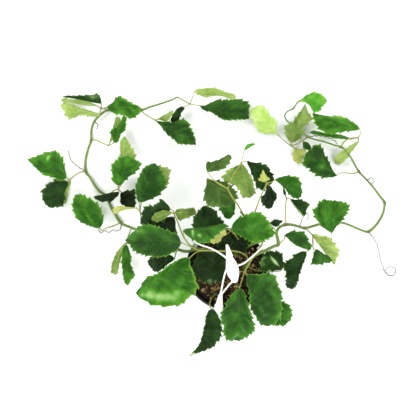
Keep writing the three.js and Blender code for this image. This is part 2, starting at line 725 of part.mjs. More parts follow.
        roll: [-10, -15], fold: 30,
      },
      {
        at: [118, 126, 196], to: [114, 142, 194], left: [1.5, 3, 3, 2.5, 1.5],
        right: [1.5, 3, 3, 2.5, 1.5],
      },
    ],
  },
  right_leaf_near: {
    colour: GREEN,
    petiole: [[156, 67, 158], [162, 62, 162], [168, 56, 164], [172, 52, 164]],
    blades: [
      {
        stalk: [[190, 42, 158], [208, 42, 160]], at: [208.6, 57, 164], to: [217.7, 121.7, 148],
        left: [15.5, 32.5, 42.5, 38.5, 35], right: [4.5, 13, 21.7, 27.8, 30],
      },
      {
        at: [170, 54, 160], to: [215, -1.5, 118], left: [11, 23, 26.5, 24.5, 13.5],
        right: [1.5, 1.5, 1.5, 1.5, 1.5], under: true,
      },
      {
        stalk: [[171, 40, 164], [169, 30, 164]], at: [159, 20, 160], to: [125, -46, 94],
        left: [4.3, 6, 8, 12.4, 11.5], right: [14.4, 24, 28.8, 15.5, 8.5],
      },
      {
        stalk: [[171, 40, 164], [171, 30, 164]], at: [176, 24, 162], to: [210, 4, 148],
        left: [4, 3.6, 3, 4.3, 2], right: [23.4, 28.5, 19.5, 13, 6.5],
      },
    ],
    extras: [[[172, 52, 164], [173, 34, 160], [173, 14, 152], [172, -12, 138]]],
  },
  right_leaf_upper: {
    colour: GREEN,
    petiole: [[270, 192, 8], [256, 187, 20], [240, 188, 28], [228, 186, 31]],
    blades: [
      {
        at: [224, 182, 32], to: [163, 227, 22], left: [12.3, 23.8, 25.3, 23, 20],
        right: [3, 11, 19, 27.7, 27.5],
      },
    ],
  },
  right_leaf_far: {
    colour: GREEN,
    petiole: [[234, 241, 15], [240, 251, 24], [252, 257, 30], [268, 258, 32]],
    blades: [
      {
        stalk: [[272, 267, 33]], at: [270, 275, 34], to: [177, 307, 28],
        left: [7.6, 17.6, 28.3, 29.8, 17.6], right: [7.6, 12.2, 11, 4, 2],
      },
      { at: [256, 256, 28], to: [172, 270, 22], left: [2, 3, 3.5, 3, 2], right: [2, 5, 3, 2, 2] },
      {
        at: [268, 251, 28], to: [222, 210, 4], left: [2.5, 5.4, 9, 14.5, 11.5],
        right: [2, 4.6, 7.5, 10.5, 7], under: true,
      },
    ],
  },
  right_leaf_pale: {
    colour: PALE_GREEN,
    petiole: [[168, 260, 25], [158, 254, 22], [146, 247, 17], [134, 244, 14]],
    blades: [
      {
        stalk: [[122, 252, 14]], at: [107, 267, 14], to: [58, 320, 12], left: [8, 21.5, 23, 19, 13.8],
        right: [4.5, 18.5, 14.6, 17.7, 15.7], under: true,
      },
      {
        at: [134, 250, 13], to: [163, 328, 12], left: [13.5, 23.7, 12.6, 7, 2],
        right: [10, 18, 15, 24, 6], under: true,
      },
      {
        at: [140, 240, 12], to: [150, 208, 6], left: [8.6, 20.8, 20.5, 11.4, 7.7],
        right: [2, 5.8, 8.6, 8.6, 4], under: true,
      },
      {
        from: [158, 254, 22], at: [158, 250, 20], to: [174, 236, 14], left: [4, 6, 6, 5, 3],
        right: [5, 8, 9, 7, 4],
      },
    ],
  },
  right_leaf_tip: {
    colour: BRIGHT_GREEN,
    petiole: [[138, 316, 35], [142, 322, 40], [146, 328, 43]],
    blades: [
      {
        at: [150, 331, 44], to: [206, 331, 34], left: [4.3, 13.8, 18, 17, 7.7],
        right: [3.4, 5, 23.5, 23.3, 6],
      },
    ],
  },
};

function potSolid() {
  const lipBottom = POT_HEIGHT - RIM_DROP;
  const wallTop = RIM_RADIUS - RIM_STEP;
  const profile = [
    [0, 0],
    [SEAT_RADIUS, 0],
    [SEAT_RADIUS + 1.5, FOOT_HEIGHT],
    [BASE_RADIUS - 7, FOOT_HEIGHT],
    [BASE_RADIUS - 5.5, 0],
    [BASE_RADIUS - 2, 0],
    [BASE_RADIUS, 1.5],
    [wallTop, lipBottom],
    [RIM_RADIUS - 0.6, lipBottom],
    [RIM_RADIUS, lipBottom + 1],
    [RIM_RADIUS, POT_HEIGHT - 1.6],
    [RIM_RADIUS - 1, POT_HEIGHT],
    [RIM_RADIUS - 3, POT_HEIGHT],
    [RIM_RADIUS - 4, POT_HEIGHT - 1.6],
    [wallTop - WALL, lipBottom],
    [BASE_RADIUS - WALL, FOOT_HEIGHT + FLOOR_THICKNESS],
    [0, FOOT_HEIGHT + FLOOR_THICKNESS],
  ];
  const turned = new THREE.LatheGeometry(profile.map((p) => new THREE.Vector2(...p)), POT_SIDES);
  turned.rotateX(Math.PI / 2);
  let pot = solidOf(turned);
  for (let i = 0; i < DRAIN_COUNT; i++) {
    const angle = (2 * Math.PI * i) / DRAIN_COUNT;
    const drill = new THREE.CylinderGeometry(DRAIN_RADIUS, DRAIN_RADIUS, 20, 6);
    drill.rotateX(Math.PI / 2);
    drill.translate(DRAIN_CIRCLE * Math.cos(angle), DRAIN_CIRCLE * Math.sin(angle), FOOT_HEIGHT);
    pot = pot.subtract(solidOf(drill));
  }
  return pot;
}

// The mix fills the pot to its level, with a lumpy top and a plain hole for each stem.
function mixSolid(holes) {
  const floor = FOOT_HEIGHT + FLOOR_THICKNESS + GAP;
  const lipBottom = POT_HEIGHT - RIM_DROP;
  const slope = (RIM_RADIUS - RIM_STEP - BASE_RADIUS) / (lipBottom - 1.5);
  const wallAt = (height) => BASE_RADIUS - WALL + slope * (height - 1.5) - 2 * GAP;
  const rings = 4;
  const profile = [[0, floor], [wallAt(floor) - 1.5, floor], [wallAt(MIX_LEVEL) - 0.8, MIX_LEVEL]];
  for (let ring = rings - 1; ring > 0; ring--) profile.push([(ring * wallAt(MIX_LEVEL)) / rings, MIX_LEVEL]);
  profile.push([0, MIX_LEVEL]);
  const turned = new THREE.LatheGeometry(profile.map((p) => new THREE.Vector2(...p)), MIX_SIDES);
  turned.rotateX(Math.PI / 2);
  const place = turned.getAttribute("position");
  for (let i = 0; i < place.count; i++) {
    const [x, y, z] = [place.getX(i), place.getY(i), place.getZ(i)];
    if (z < MIX_LEVEL - 0.5) continue;
    const lumps = Math.sin(x * 0.19 + 1.3) * Math.cos(y * 0.23) + 0.6 * Math.sin(x * 0.41 - y * 0.37);
    place.setZ(i, z + MIX_RELIEF * 0.6 * lumps);
  }
  return holes.reduce((mix, hole) => mix.subtract(hole), solidOf(turned));
}

// An upside-down U that snaps over the pot's rim at an angle round it.
function rimClip(angle, width) {
  const outer = RIM_RADIUS + GAP;
  const inner = RIM_RADIUS - CLIP_REACH;
  const top = POT_HEIGHT + GAP;
  const outline = [
    [outer, top - 11],
    [outer + CLIP_THICKNESS, top - 11],
    [outer + CLIP_THICKNESS, top + CLIP_THICKNESS],
    [inner - CLIP_THICKNESS, top + CLIP_THICKNESS],
    [inner - CLIP_THICKNESS, top - 7],
    [inner, top - 7],
    [inner, top],
    [outer, top],
  ];
  const shape = new THREE.Shape(outline.map((p) => new THREE.Vector2(...p)));
  const clip = new THREE.ExtrudeGeometry(shape, { depth: width, bevelEnabled: false });
  clip.translate(0, 0, -width / 2);
  clip.rotateX(Math.PI / 2);
  clip.rotateZ(angle);
  return solidOf(clip);
}

// A flat tapered plate between two points, wide at its start and narrow at its end.
function taperedPlate(start, end, startWidth, endWidth, thickness, sideways) {
  const along = vector(end).sub(vector(start));
  const length = along.length();
  const shape = new THREE.Shape([
    new THREE.Vector2(-startWidth / 2, 0),
    new THREE.Vector2(startWidth / 2, 0),
    new THREE.Vector2(endWidth / 2, length),
    new THREE.Vector2(-endWidth / 2, length),
  ]);
  const plate = new THREE.ExtrudeGeometry(shape, { depth: thickness, bevelEnabled: false });
  plate.translate(0, 0, -thickness / 2);
  const yAxis = along.normalize();
  const xAxis = vector(sideways).addScaledVector(yAxis, -vector(sideways).dot(yAxis)).normalize();
  const zAxis = new THREE.Vector3().crossVectors(xAxis, yAxis);
  plate.applyMatrix4(new THREE.Matrix4().makeBasis(xAxis, yAxis, zAxis));
  plate.translate(...start);
  return solidOf(plate);
}

// The flat plate that the strands meet at, with room round it where slack is more than nothing.
function hubPlate(slack = 0) {
  const along = vector(HUB_HIGH).sub(vector(HUB_LOW)).normalize();
  const right = new THREE.Vector3(0, 0, 1).cross(along).normalize().negate();
  const up = new THREE.Vector3().crossVectors(right, along);
  const leftEdge = HUB_OUTLINE.map(([v, half]) => new THREE.Vector2(-half - slack, v));
  const rightEdge = HUB_OUTLINE.map(([v, half]) => new THREE.Vector2(half + slack, v)).reverse();
  const depth = HUB_THICKNESS + 2 * slack;
  const plate = new THREE.ExtrudeGeometry(new THREE.Shape([...leftEdge, ...rightEdge].reverse()), {
    depth,
    bevelEnabled: false,
  });
  plate.translate(0, 0, -depth / 2);
  plate.applyMatrix4(new THREE.Matrix4().makeBasis(right, along, up));
  plate.translate(...HUB_LOW);
  return solidOf(plate);
}

// The open hook above the plate, a C that opens to the front.
function hookSolid() {
  const middle = (HOOK_INNER + HOOK_OUTER) / 2;
  const from = (-125 * Math.PI) / 180;
  const until = (148 * Math.PI) / 180;
  const shape = new THREE.Shape();
  shape.absarc(0, 0, HOOK_OUTER, from, until, false);
  shape.absarc(0, 0, HOOK_INNER, until, from, true);
  const hook = new THREE.ExtrudeGeometry(shape, { depth: HOOK_WIDTH, bevelEnabled: false, curveSegments: 9 });
  hook.translate(-middle * Math.cos(from), -middle * Math.sin(from), -HOOK_WIDTH / 2);
  const heading = new THREE.Vector3(Math.cos(HOOK_HEADING), Math.sin(HOOK_HEADING), 0);
  const upright = new THREE.Vector3(0, 0, 1);
  const across = new THREE.Vector3().crossVectors(heading, upright);
  hook.applyMatrix4(new THREE.Matrix4().makeBasis(heading, upright, across));
  hook.translate(...HUB_HIGH);
  return solidOf(hook);
}

// Strands of the hanger, from the rim up to the plate
const STRANDS = {
  hanger_left_strand: {
    angle: 142,
    width: CLIP_WIDTH,
    routes: [
      [[-62.5, 49, 126], [-63, 50.5, 148], [-57, 46, 171], [-45, 40, 187], [-32, 35, 196], [-17, 27, 201],
        [-4, 18, 203], [4, 10, 203]],
    ],
  },
  hanger_right_strand: {
    angle: 31,
    width: CLIP_WIDTH,
    routes: [
      [[68, 41, 126], [73, 43.5, 148], [74, 43, 166], [68, 37, 180], [56, 25, 189], [44, 14, 193], [32, 5, 196],
        [16, -1, 198]],
    ],
  },
  hanger_front_strands: {
    angle: 259,
    width: FRONT_CLIP_WIDTH,
    routes: [
      [[-12, -53, 157], [-9, -39, 170], [-5, -20, 184], [0, -5, 193], [7, 5, 199]],
      [[-11, -53, 157], [-4, -45, 166], [4, -36, 177], [14, -26, 187]],
    ],
    plate: [[-14.7, -76, 127], [-11.5, -52, 158]],
  },
};

function strandSolid(strand) {
  const solids = strand.routes.map((route) => rod(route, STRAND_RADIUS, STRAND_SIDES, STRAND_STEP));
  solids.push(rimClip((strand.angle * Math.PI) / 180, strand.width));
  if (strand.plate) {
    const [low, high] = strand.plate;
    const sideways = [-Math.sin((strand.angle * Math.PI) / 180), Math.cos((strand.angle * Math.PI) / 180), 0];
    solids.push(taperedPlate(low, high, strand.width, 7, 3.4, sideways));
  }
  return joined(solids).subtract(hubPlate(GAP));
}

const root = new THREE.Group();
const plant = new THREE.Group();
plant.position.set(CROWN_OFFSET[0], CROWN_OFFSET[1], 0);
root.add(plant);

function addMesh(group, name, solid, colour, roughness) {
  const material = new THREE.MeshStandardMaterial({ color: colour, roughness, metalness: 0, flatShading: true });
  const mesh = new THREE.Mesh(geometryOf(solid), material);
  mesh.name = name;
  group.add(mesh);
}

const stemRoom = joined(Object.values(STEMS).map((route) => stem(route, GAP)));
const stemHoles = solidOf(geometryOf(stemRoom).translate(CROWN_OFFSET[0], CROWN_OFFSET[1], 0));

addMesh(root, "pot", potSolid(), 0x1d1815, 0.35);
addMesh(root, "potting_mix", mixSolid([stemHoles]), 0x2a1d14, 0.95);
addMesh(root, "hanger_hook", hubPlate().add(hookSolid()), 0xf4f4f0, 0.4);
for (const [name, strand] of Object.entries(STRANDS)) addMesh(root, name, strandSolid(strand), 0xf4f4f0, 0.4);
for (const [name, route] of Object.entries(STEMS)) addMesh(plant, name, stem(route), STEM_OLIVE, 0.5);
Object.entries(LEAVES).forEach(([name, leaf], serial) => {
  addMesh(plant, name, mainBody(compoundLeaf(leaf, serial + 1).subtract(stemRoom)), leaf.colour, 0.4);
});

export default root;
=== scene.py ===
"""A chestnut vine in its hanging pot, seen from above: the fine leaves, stems, pot, bark and hanger.

Each class holds the sizes of one part of the plant in millimetres and builds its pieces in metres,
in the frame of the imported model. The routes and leaf tables are those of the solid model.
"""

import logging
import math
from dataclasses import dataclass, field
from enum import Enum

import bpy
import numpy as np
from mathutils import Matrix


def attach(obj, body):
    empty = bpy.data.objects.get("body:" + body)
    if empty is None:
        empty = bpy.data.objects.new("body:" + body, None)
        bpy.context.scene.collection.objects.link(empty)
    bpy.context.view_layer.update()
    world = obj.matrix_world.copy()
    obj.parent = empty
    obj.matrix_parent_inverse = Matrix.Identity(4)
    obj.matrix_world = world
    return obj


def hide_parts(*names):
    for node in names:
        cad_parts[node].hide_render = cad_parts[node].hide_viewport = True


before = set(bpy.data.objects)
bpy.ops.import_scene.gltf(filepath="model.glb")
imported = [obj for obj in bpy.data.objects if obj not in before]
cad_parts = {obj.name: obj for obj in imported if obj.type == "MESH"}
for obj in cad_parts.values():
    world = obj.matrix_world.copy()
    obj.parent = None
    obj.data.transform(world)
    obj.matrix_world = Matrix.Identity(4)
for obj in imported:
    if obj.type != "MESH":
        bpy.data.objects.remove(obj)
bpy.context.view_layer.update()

log = logging.getLogger("chestnut_vine")

MM = 0.001
BODY = "root"
CROWN_OFFSET = np.array([-4.0, 10.0, 0.0])
UP = np.array([0.0, 0.0, 1.0])

Array = np.ndarray
Point = tuple[float, float, float]
Route = tuple[Point, ...]
Widths = tuple[float, float, float, float, float]
Pair = tuple[float, float]
Marks = dict[str, Array | float]
Socket = bpy.types.NodeSocket
Settings = dict[str | int, object]
Links = dict[str | int, Socket]

# Settings that many nodes share
SOFT_NOISE = {"Scale": 1.0, "Detail": 3.0, "Roughness": 0.55}
TIMES = {"operation": "MULTIPLY"}
TIMES_PLUS = {"operation": "MULTIPLY_ADD"}
PLUS = {"operation": "ADD"}
BLEND = {"data_type": "RGBA"}


def linear(code: str) -> tuple[float, float, float, float]:
    """Turns an sRGB hex colour to linear light.

    Args:
        code: six hex digits, with or without a leading hash.

    Returns:
        Red, green, blue and an alpha of 1.
    """
    parts = [int(code.lstrip("#")[i : i + 2], 16) / 255 for i in (0, 2, 4)]
    red, green, blue = [c / 12.92 if c <= 0.04045 else ((c + 0.055) / 1.055) ** 2.4 for c in parts]
    return (red, green, blue, 1.0)


def unit(vectors: Array) -> Array:
    """Scales vectors along the last axis to length one."""
    return vectors / np.maximum(np.linalg.norm(vectors, axis=-1, keepdims=True), 1e-12)


def chance(first: float, second: float) -> float:
    """A repeatable number from 0 to 1 for a pair of numbers."""
    wave = math.sin(first * 12.9898 + second * 78.233) * 43758.5453
    return wave - math.floor(wave)


def smooth(low: float, high: float, value: Array | float) -> Array | float:
    """A soft step from 0 at low to 1 at high."""
    share = np.clip((value - low) / (high - low), 0.0, 1.0)
    return share * share * (3 - 2 * share)


def near(away: Array, reach: float) -> Array:
    """A bell that is 1 where the distance is 0 and fades over the reach."""
    return np.exp(-((away / reach) ** 2))


def curve_through(points: Route | Array, step: float, fewest: int = 2) -> tuple[Array, Array]:
    """Runs the solid model's centripetal curve through the points.

    Args:
        points: the route's points in millimetres.
        step: the length wanted between two points of the curve.
        fewest: the least number of steps from one route point to the next.

    Returns:
        The curve's points, and for each the number of route points passed, with its fraction.
    """
    knots = np.array(points, float)
    ends = np.vstack([2 * knots[0] - knots[1], knots, 2 * knots[-1] - knots[-2]])
    places = []
    marks = []
    for k in range(len(knots) - 1):
        a, b, c, d = ends[k : k + 4]
        gaps = [max(math.sqrt(math.dist(p, q)), 1e-4) for p, q in ((a, b), (b, c), (c, d))]
        start = ((b - a) / gaps[0] - (c - a) / (gaps[0] + gaps[1]) + (c - b) / gaps[1]) * gaps[1]
        finish = ((c - b) / gaps[1] - (d - b) / (gaps[1] + gaps[2]) + (d - c) / gaps[2]) * gaps[1]
        count = max(fewest, round(math.dist(b, c) / step))
        for i in range(count):
            t = i / count
            cubic = (2 * b - 2 * c + start + finish) * t**3
            places.append(b + start * t + (3 * c - 3 * b - 2 * start - finish) * t * t + cubic)
            marks.append(k + t)
    places.append(knots[-1])
    marks.append(len(knots) - 1)
    return np.array(places), np.array(marks, float)


def travel(places: Array) -> Array:
    """The distance covered at each point of a curve."""
    return np.concatenate([[0.0], np.cumsum(np.linalg.norm(np.diff(places, axis=0), axis=1))])


def turning_frames(places: Array) -> tuple[Array, Array]:
    """Two directions square to a curve at each of its points, which turn as little as they can.

    Args:
        places: the curve's points.

    Returns:
        The first and the second direction at each point.
    """
    along = unit(np.gradient(places, axis=0))
    first = np.cross(along[0], UP)
    if np.linalg.norm(first) < 0.1:
        first = np.cross(along[0], np.array([0.0, 1.0, 0.0]))
    normals = [first / np.linalg.norm(first)]
    for direction in along[1:]:
        turned = normals[-1] - direction * np.dot(normals[-1], direction)
        normals.append(turned / np.linalg.norm(turned))
    firsts = np.array(normals)
    return firsts, np.cross(along, firsts)


@dataclass
class Draft:
    """Collects the rings of points that make one piece, with the values painted on them.

    A piece is made of closed forms, and each form is a row of closed rings with a cap at both ends.
    """

    name: str
    points: list[Array] = field(default_factory=list)
    faces: list[Array] = field(default_factory=list)
    finishes: list[Array] = field(default_factory=list)
    corners: list[Array] = field(default_factory=list)
    chart_of: list[Array] = field(default_factory=list)
    charts: list[Pair] = field(default_factory=list)
    marks: dict[str, list[Array]] = field(default_factory=dict)
    count: int = 0
    chart_margin: float = 1.2
    chart_spare: float = 1.12
    least_chart: float = 0.2

    def add_points(self, points: Array, marks: Marks) -> Array:
        """Adds points with the values painted on them.

        Args:
            points: rows of points, in millimetres.
            marks: the name of each painted value, with a number for all or one for each point.

        Returns:
            The number of each point, in the shape of the rows.
        """
        shape = points.shape[:-1]
        size = int(np.prod(shape))
        self.points.append(points.reshape(-1, 3))
        for name in ("rib", "edge", "tint", "age_and_painted_light"):
            values = np.broadcast_to(np.asarray(marks.get(name, 0.0), float), shape)
            self.marks.setdefault(name, []).append(values.reshape(-1))
        flat = np.broadcast_to(np.asarray(marks.get("flat", np.zeros(3)), float), shape + (3,))
        self.marks.setdefault("flat", []).append(flat.reshape(-1, 3))
        numbers = np.arange(self.count, self.count + size).reshape(shape)
        self.count += size
        return numbers

    def add_faces(self, faces: Array, corners: Array, chart: int, finish: Array | int) -> None:
        """Adds faces with the same number of corners.

        Args:
            faces: the points of each face.
            corners: the place of each corner on its chart, in millimetres.
            chart: the number of the chart.
            finish: the finish of all the faces, or of each.
        """
        self.faces.append(faces)
        self.corners.append(corners)
        self.chart_of.append(np.full(len(faces), chart))
        self.finishes.append(np.broadcast_to(np.asarray(finish), (len(faces),)).copy())

    def add_chart(self, width: float, height: float) -> int:
        """Opens a chart of a size in millimetres and gives its number."""
        self.charts.append((width, height))
        return len(self.charts) - 1

    def add_rings(
        self,
        rings: Array,
        marks: Marks,
        finish: Array | int = 0,
        sheet: bool = False,
        longest: float = 160.0,
    ) -> Array:
        """Adds one closed form from its rings.

        Args:
            rings: rows of ring points in millimetres, the rings turning about the way they follow.
            marks: values painted on the points.
            finish: the finish of the form, or of each column of faces round it.
            sheet: whether the rings are flat, an upper face and then the lower one backwards.
            longest: the greatest length of a chart.

        Returns:
            The number of each point.
        """
        rows, around = rings.shape[:2]
        numbers = self.add_points(rings, marks)
        widest = rings[np.argmax(np.linalg.norm(np.ptp(rings, axis=1), axis=1))]
        reach = np.linalg.norm(np.roll(widest, -1, axis=0) - widest, axis=1)
        across = np.concatenate([[0.0], np.cumsum(reach)])
        down = travel(rings.mean(axis=1) if not sheet else rings[:, around // 4])
        columns = np.arange(around)
        start = 0
        while start < rows - 1:
            end = start + 1
            while end < rows - 1 and down[end + 1] - down[start] < longest:
                end += 1
            chart = self.add_chart(across[-1], max(down[end] - down[start], self.least_chart))
            r, c = np.meshgrid(np.arange(start, end), columns, indexing="ij")
            n = (c + 1) % around
            faces = np.stack([numbers[r, c], numbers[r, n], numbers[r + 1, n], numbers[r + 1, c]], -1)
            low, high = down[r] - down[start], down[r + 1] - down[start]
            left, right = across[c], across[c + 1]
            pairs = ((left, low), (right, low), (right, high), (left, high))
            spots = np.stack([np.stack(pair, -1) for pair in pairs], -2).reshape(-1, 4, 2)
            worn = np.broadcast_to(np.asarray(finish), (around,))[c]
            self.add_faces(faces.reshape(-1, 4), spots, chart, worn.reshape(-1))
            start = end
        self.add_caps(rings, numbers, finish, sheet)
        return numbers

    def add_caps(self, rings: Array, numbers: Array, finish: Array | int, sheet: bool) -> None:
        """Closes a form's two ends, a sheet's with a strip of faces and a rod's with one face.

        Args:
            rings: the form's rings.
            numbers: the number of each of their points.
            finish: the finish of the form, or of each column of faces round it.
            sheet: whether the rings are flat.
        """
        around = rings.shape[1]
        first = int(np.broadcast_to(np.asarray(finish), (around,))[0])
        for row, turned in ((0, True), (-1, False)):
            ring = rings[row]
            size = max(float(np.ptp(ring, axis=0).max()), self.least_chart)
            chart = self.add_chart(size, size)
            if sheet:
                half = around // 2
                j = np.arange(half - 1)
                faces = np.stack([j, j + 1, around - 2 - j, around - 1 - j], -1)
            else:
                faces = np.arange(around)[None, :]
            if turned:
                faces = faces[:, ::-1]
            axes = np.argsort(np.ptp(ring, axis=0))[::-1][:2]
            spots = ring[:, axes] - ring[:, axes].min(axis=0)
            self.add_faces(numbers[row][faces], spots[faces], chart, first)

    def packed(self) -> tuple[Array, Array]:
        """Lays the charts out on shelves in a square.

        Returns:
            The corner of each chart and the size of the square it lies in, in millimetres.
        """
        sizes = np.array(self.charts) + self.chart_margin
        area = float(np.prod(sizes, axis=1).sum()) * self.chart_spare
        side = max(math.sqrt(area), float(sizes[:, 0].max()))
        places = np.zeros((len(self.charts), 2))
        x = y = shelf = 0.0
        for k in np.argsort(-sizes[:, 1], kind="stable"):
            if x + sizes[k, 0] > side + 1e-6:
                x = 0.0
                y += shelf
                shelf = 0.0
            shelf = max(shelf, sizes[k, 1])
            places[k] = (x + self.chart_margin / 2, y + self.chart_margin / 2)
            x += sizes[k, 0]
        return places, np.array([side, y + shelf])

    def shift(self, offset: Array) -> None:
        """Moves all the points by an offset in millimetres."""
        self.points = [points + offset for points in self.points]

    def build(self, materials: list[bpy.types.Material], slot: str, replaced: tuple[str, ...] = ()) -> None:
        """Makes the piece, paints it and hands it to the frame.

        Args:
            materials: the finishes in the order of their numbers.
            slot: the record's material slot.
            replaced: the solid nodes that the piece stands for.
        """
        mesh = bpy.data.meshes.new(self.name)
        points = np.concatenate(self.points) * MM
        points[:, 2] = np.maximum(points[:, 2], 0.0)
        corners = np.concatenate([f.reshape(-1) for f in self.faces])
        totals = np.concatenate([np.full(len(f), f.shape[1]) for f in self.faces])
        starts = np.concatenate([[0], np.cumsum(totals)[:-1]])
        mesh.vertices.add(len(points))
        mesh.vertices.foreach_set("co", points.astype(np.float32).ravel())
        mesh.loops.add(len(corners))
        mesh.loops.foreach_set("vertex_index", corners.astype(np.int32))
        mesh.polygons.add(len(totals))
        mesh.polygons.foreach_set("loop_start", starts.astype(np.int32))
        mesh.polygons.foreach_set("material_index", np.concatenate(self.finishes).astype(np.int32))
        mesh.polygons.foreach_set("use_smooth", np.ones(len(totals), bool))
        for material in materials:
            mesh.materials.append(material)
        mesh.update(calc_edges=True)
        places, size = self.packed()
        chart_of = np.repeat(np.concatenate(self.chart_of), totals)
        spots = np.concatenate([c.reshape(-1, 2) for c in self.corners])
        layer = mesh.uv_layers.new(name="OFBake", do_init=False)
        layer.uv.foreach_set("vector", ((spots + places[chart_of]) / size).astype(np.float32).ravel())
        for name, values in self.marks.items():
            painted = np.concatenate(values)
            kind, key = ("FLOAT_VECTOR", "vector") if painted.ndim == 2 else ("FLOAT", "value")
            mesh.attributes.new(name, kind, "POINT").data.foreach_set(key, painted.astype(np.float32).ravel())
        mesh.validate()
        settle(placed(self.name, mesh), slot, replaced)


def placed(name: str, data: bpy.types.ID) -> bpy.types.Object:
    """Makes an object of a mesh, a lamp or a camera, and puts it in the scene.

    Args:
        name: the object's name.
        data: its mesh, lamp or camera.

    Returns:
        The object.
    """
    holder = bpy.data.objects.new(name, data)
    bpy.context.scene.collection.objects.link(holder)
    return holder


def settle(piece: bpy.types.Object, slot: str, replaced: tuple[str, ...]) -> None:
    """Hands a finished piece to the frame and reports it.

    Args:
        piece: the piece, in place.
        slot: the record's material slot.
        replaced: the solid nodes that the piece stands for.
    """
    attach(piece, BODY)
    if replaced:
        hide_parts(*replaced)
    log.info("%s: %d faces, slot %s", piece.name, len(piece.data.polygons), slot)


def fineness(*sizes: float) -> Point:
    """The scale of a pattern along each axis, from the millimetres that it repeats at."""
    return tuple(1 / size for size in sizes)


@dataclass
class Shader:
    """The node tree of one material while its finish is being built."""

    name: str

    def __post_init__(self) -> None:
        """Makes the material with an empty tree."""
        self.material = bpy.data.materials.new(self.name)
        self.material.use_nodes = True
        self.tree = self.material.node_tree
        self.tree.nodes.clear()

    def add(self, kind: str, settings: Settings, links: Links | None = None) -> bpy.types.NodeOutputs:
        """Adds a node with its settings and its links.

        Args:
            kind: the node's type, without the leading ShaderNode.
            settings: names of the node's options, or names or numbers of its inputs, with their values.
            links: names or numbers of its inputs, with the outputs that feed them.

        Returns:
            The new node's outputs.
        """
        node = self.tree.nodes.new("ShaderNode" + kind)
        for key, value in settings.items():
            if isinstance(key, str) and hasattr(node, key):
                setattr(node, key, value)
            else:
                node.inputs[key].default_value = value
        for key, source in (links or {}).items():
            self.tree.links.new(source, node.inputs[key])
        return node.outputs

    def finished(
        self, colour: Socket, roughness: Socket, height: Socket, relief: float, constants: dict[str, float]
    ) -> bpy.types.Material:
        """Closes the tree with the surface itself.

        Args:
            colour: the base colour.
            roughness: the roughness.
            height: the relief, from 0 to 1.
            relief: how high the relief stands, in millimetres.
            constants: values set on the surface's own sockets.

        Returns:
            The material.
        """
        bump = self.add("Bump", {"Strength": 1.0, "Distance": relief * MM}, {"Height": height})[0]
        links = {"Base Color": colour, "Roughness": roughness, "Normal": bump}
        surface = self.add("BsdfPrincipled", constants, links)[0]
        self.add("OutputMaterial", {}, {"Surface": surface})
        return self.material


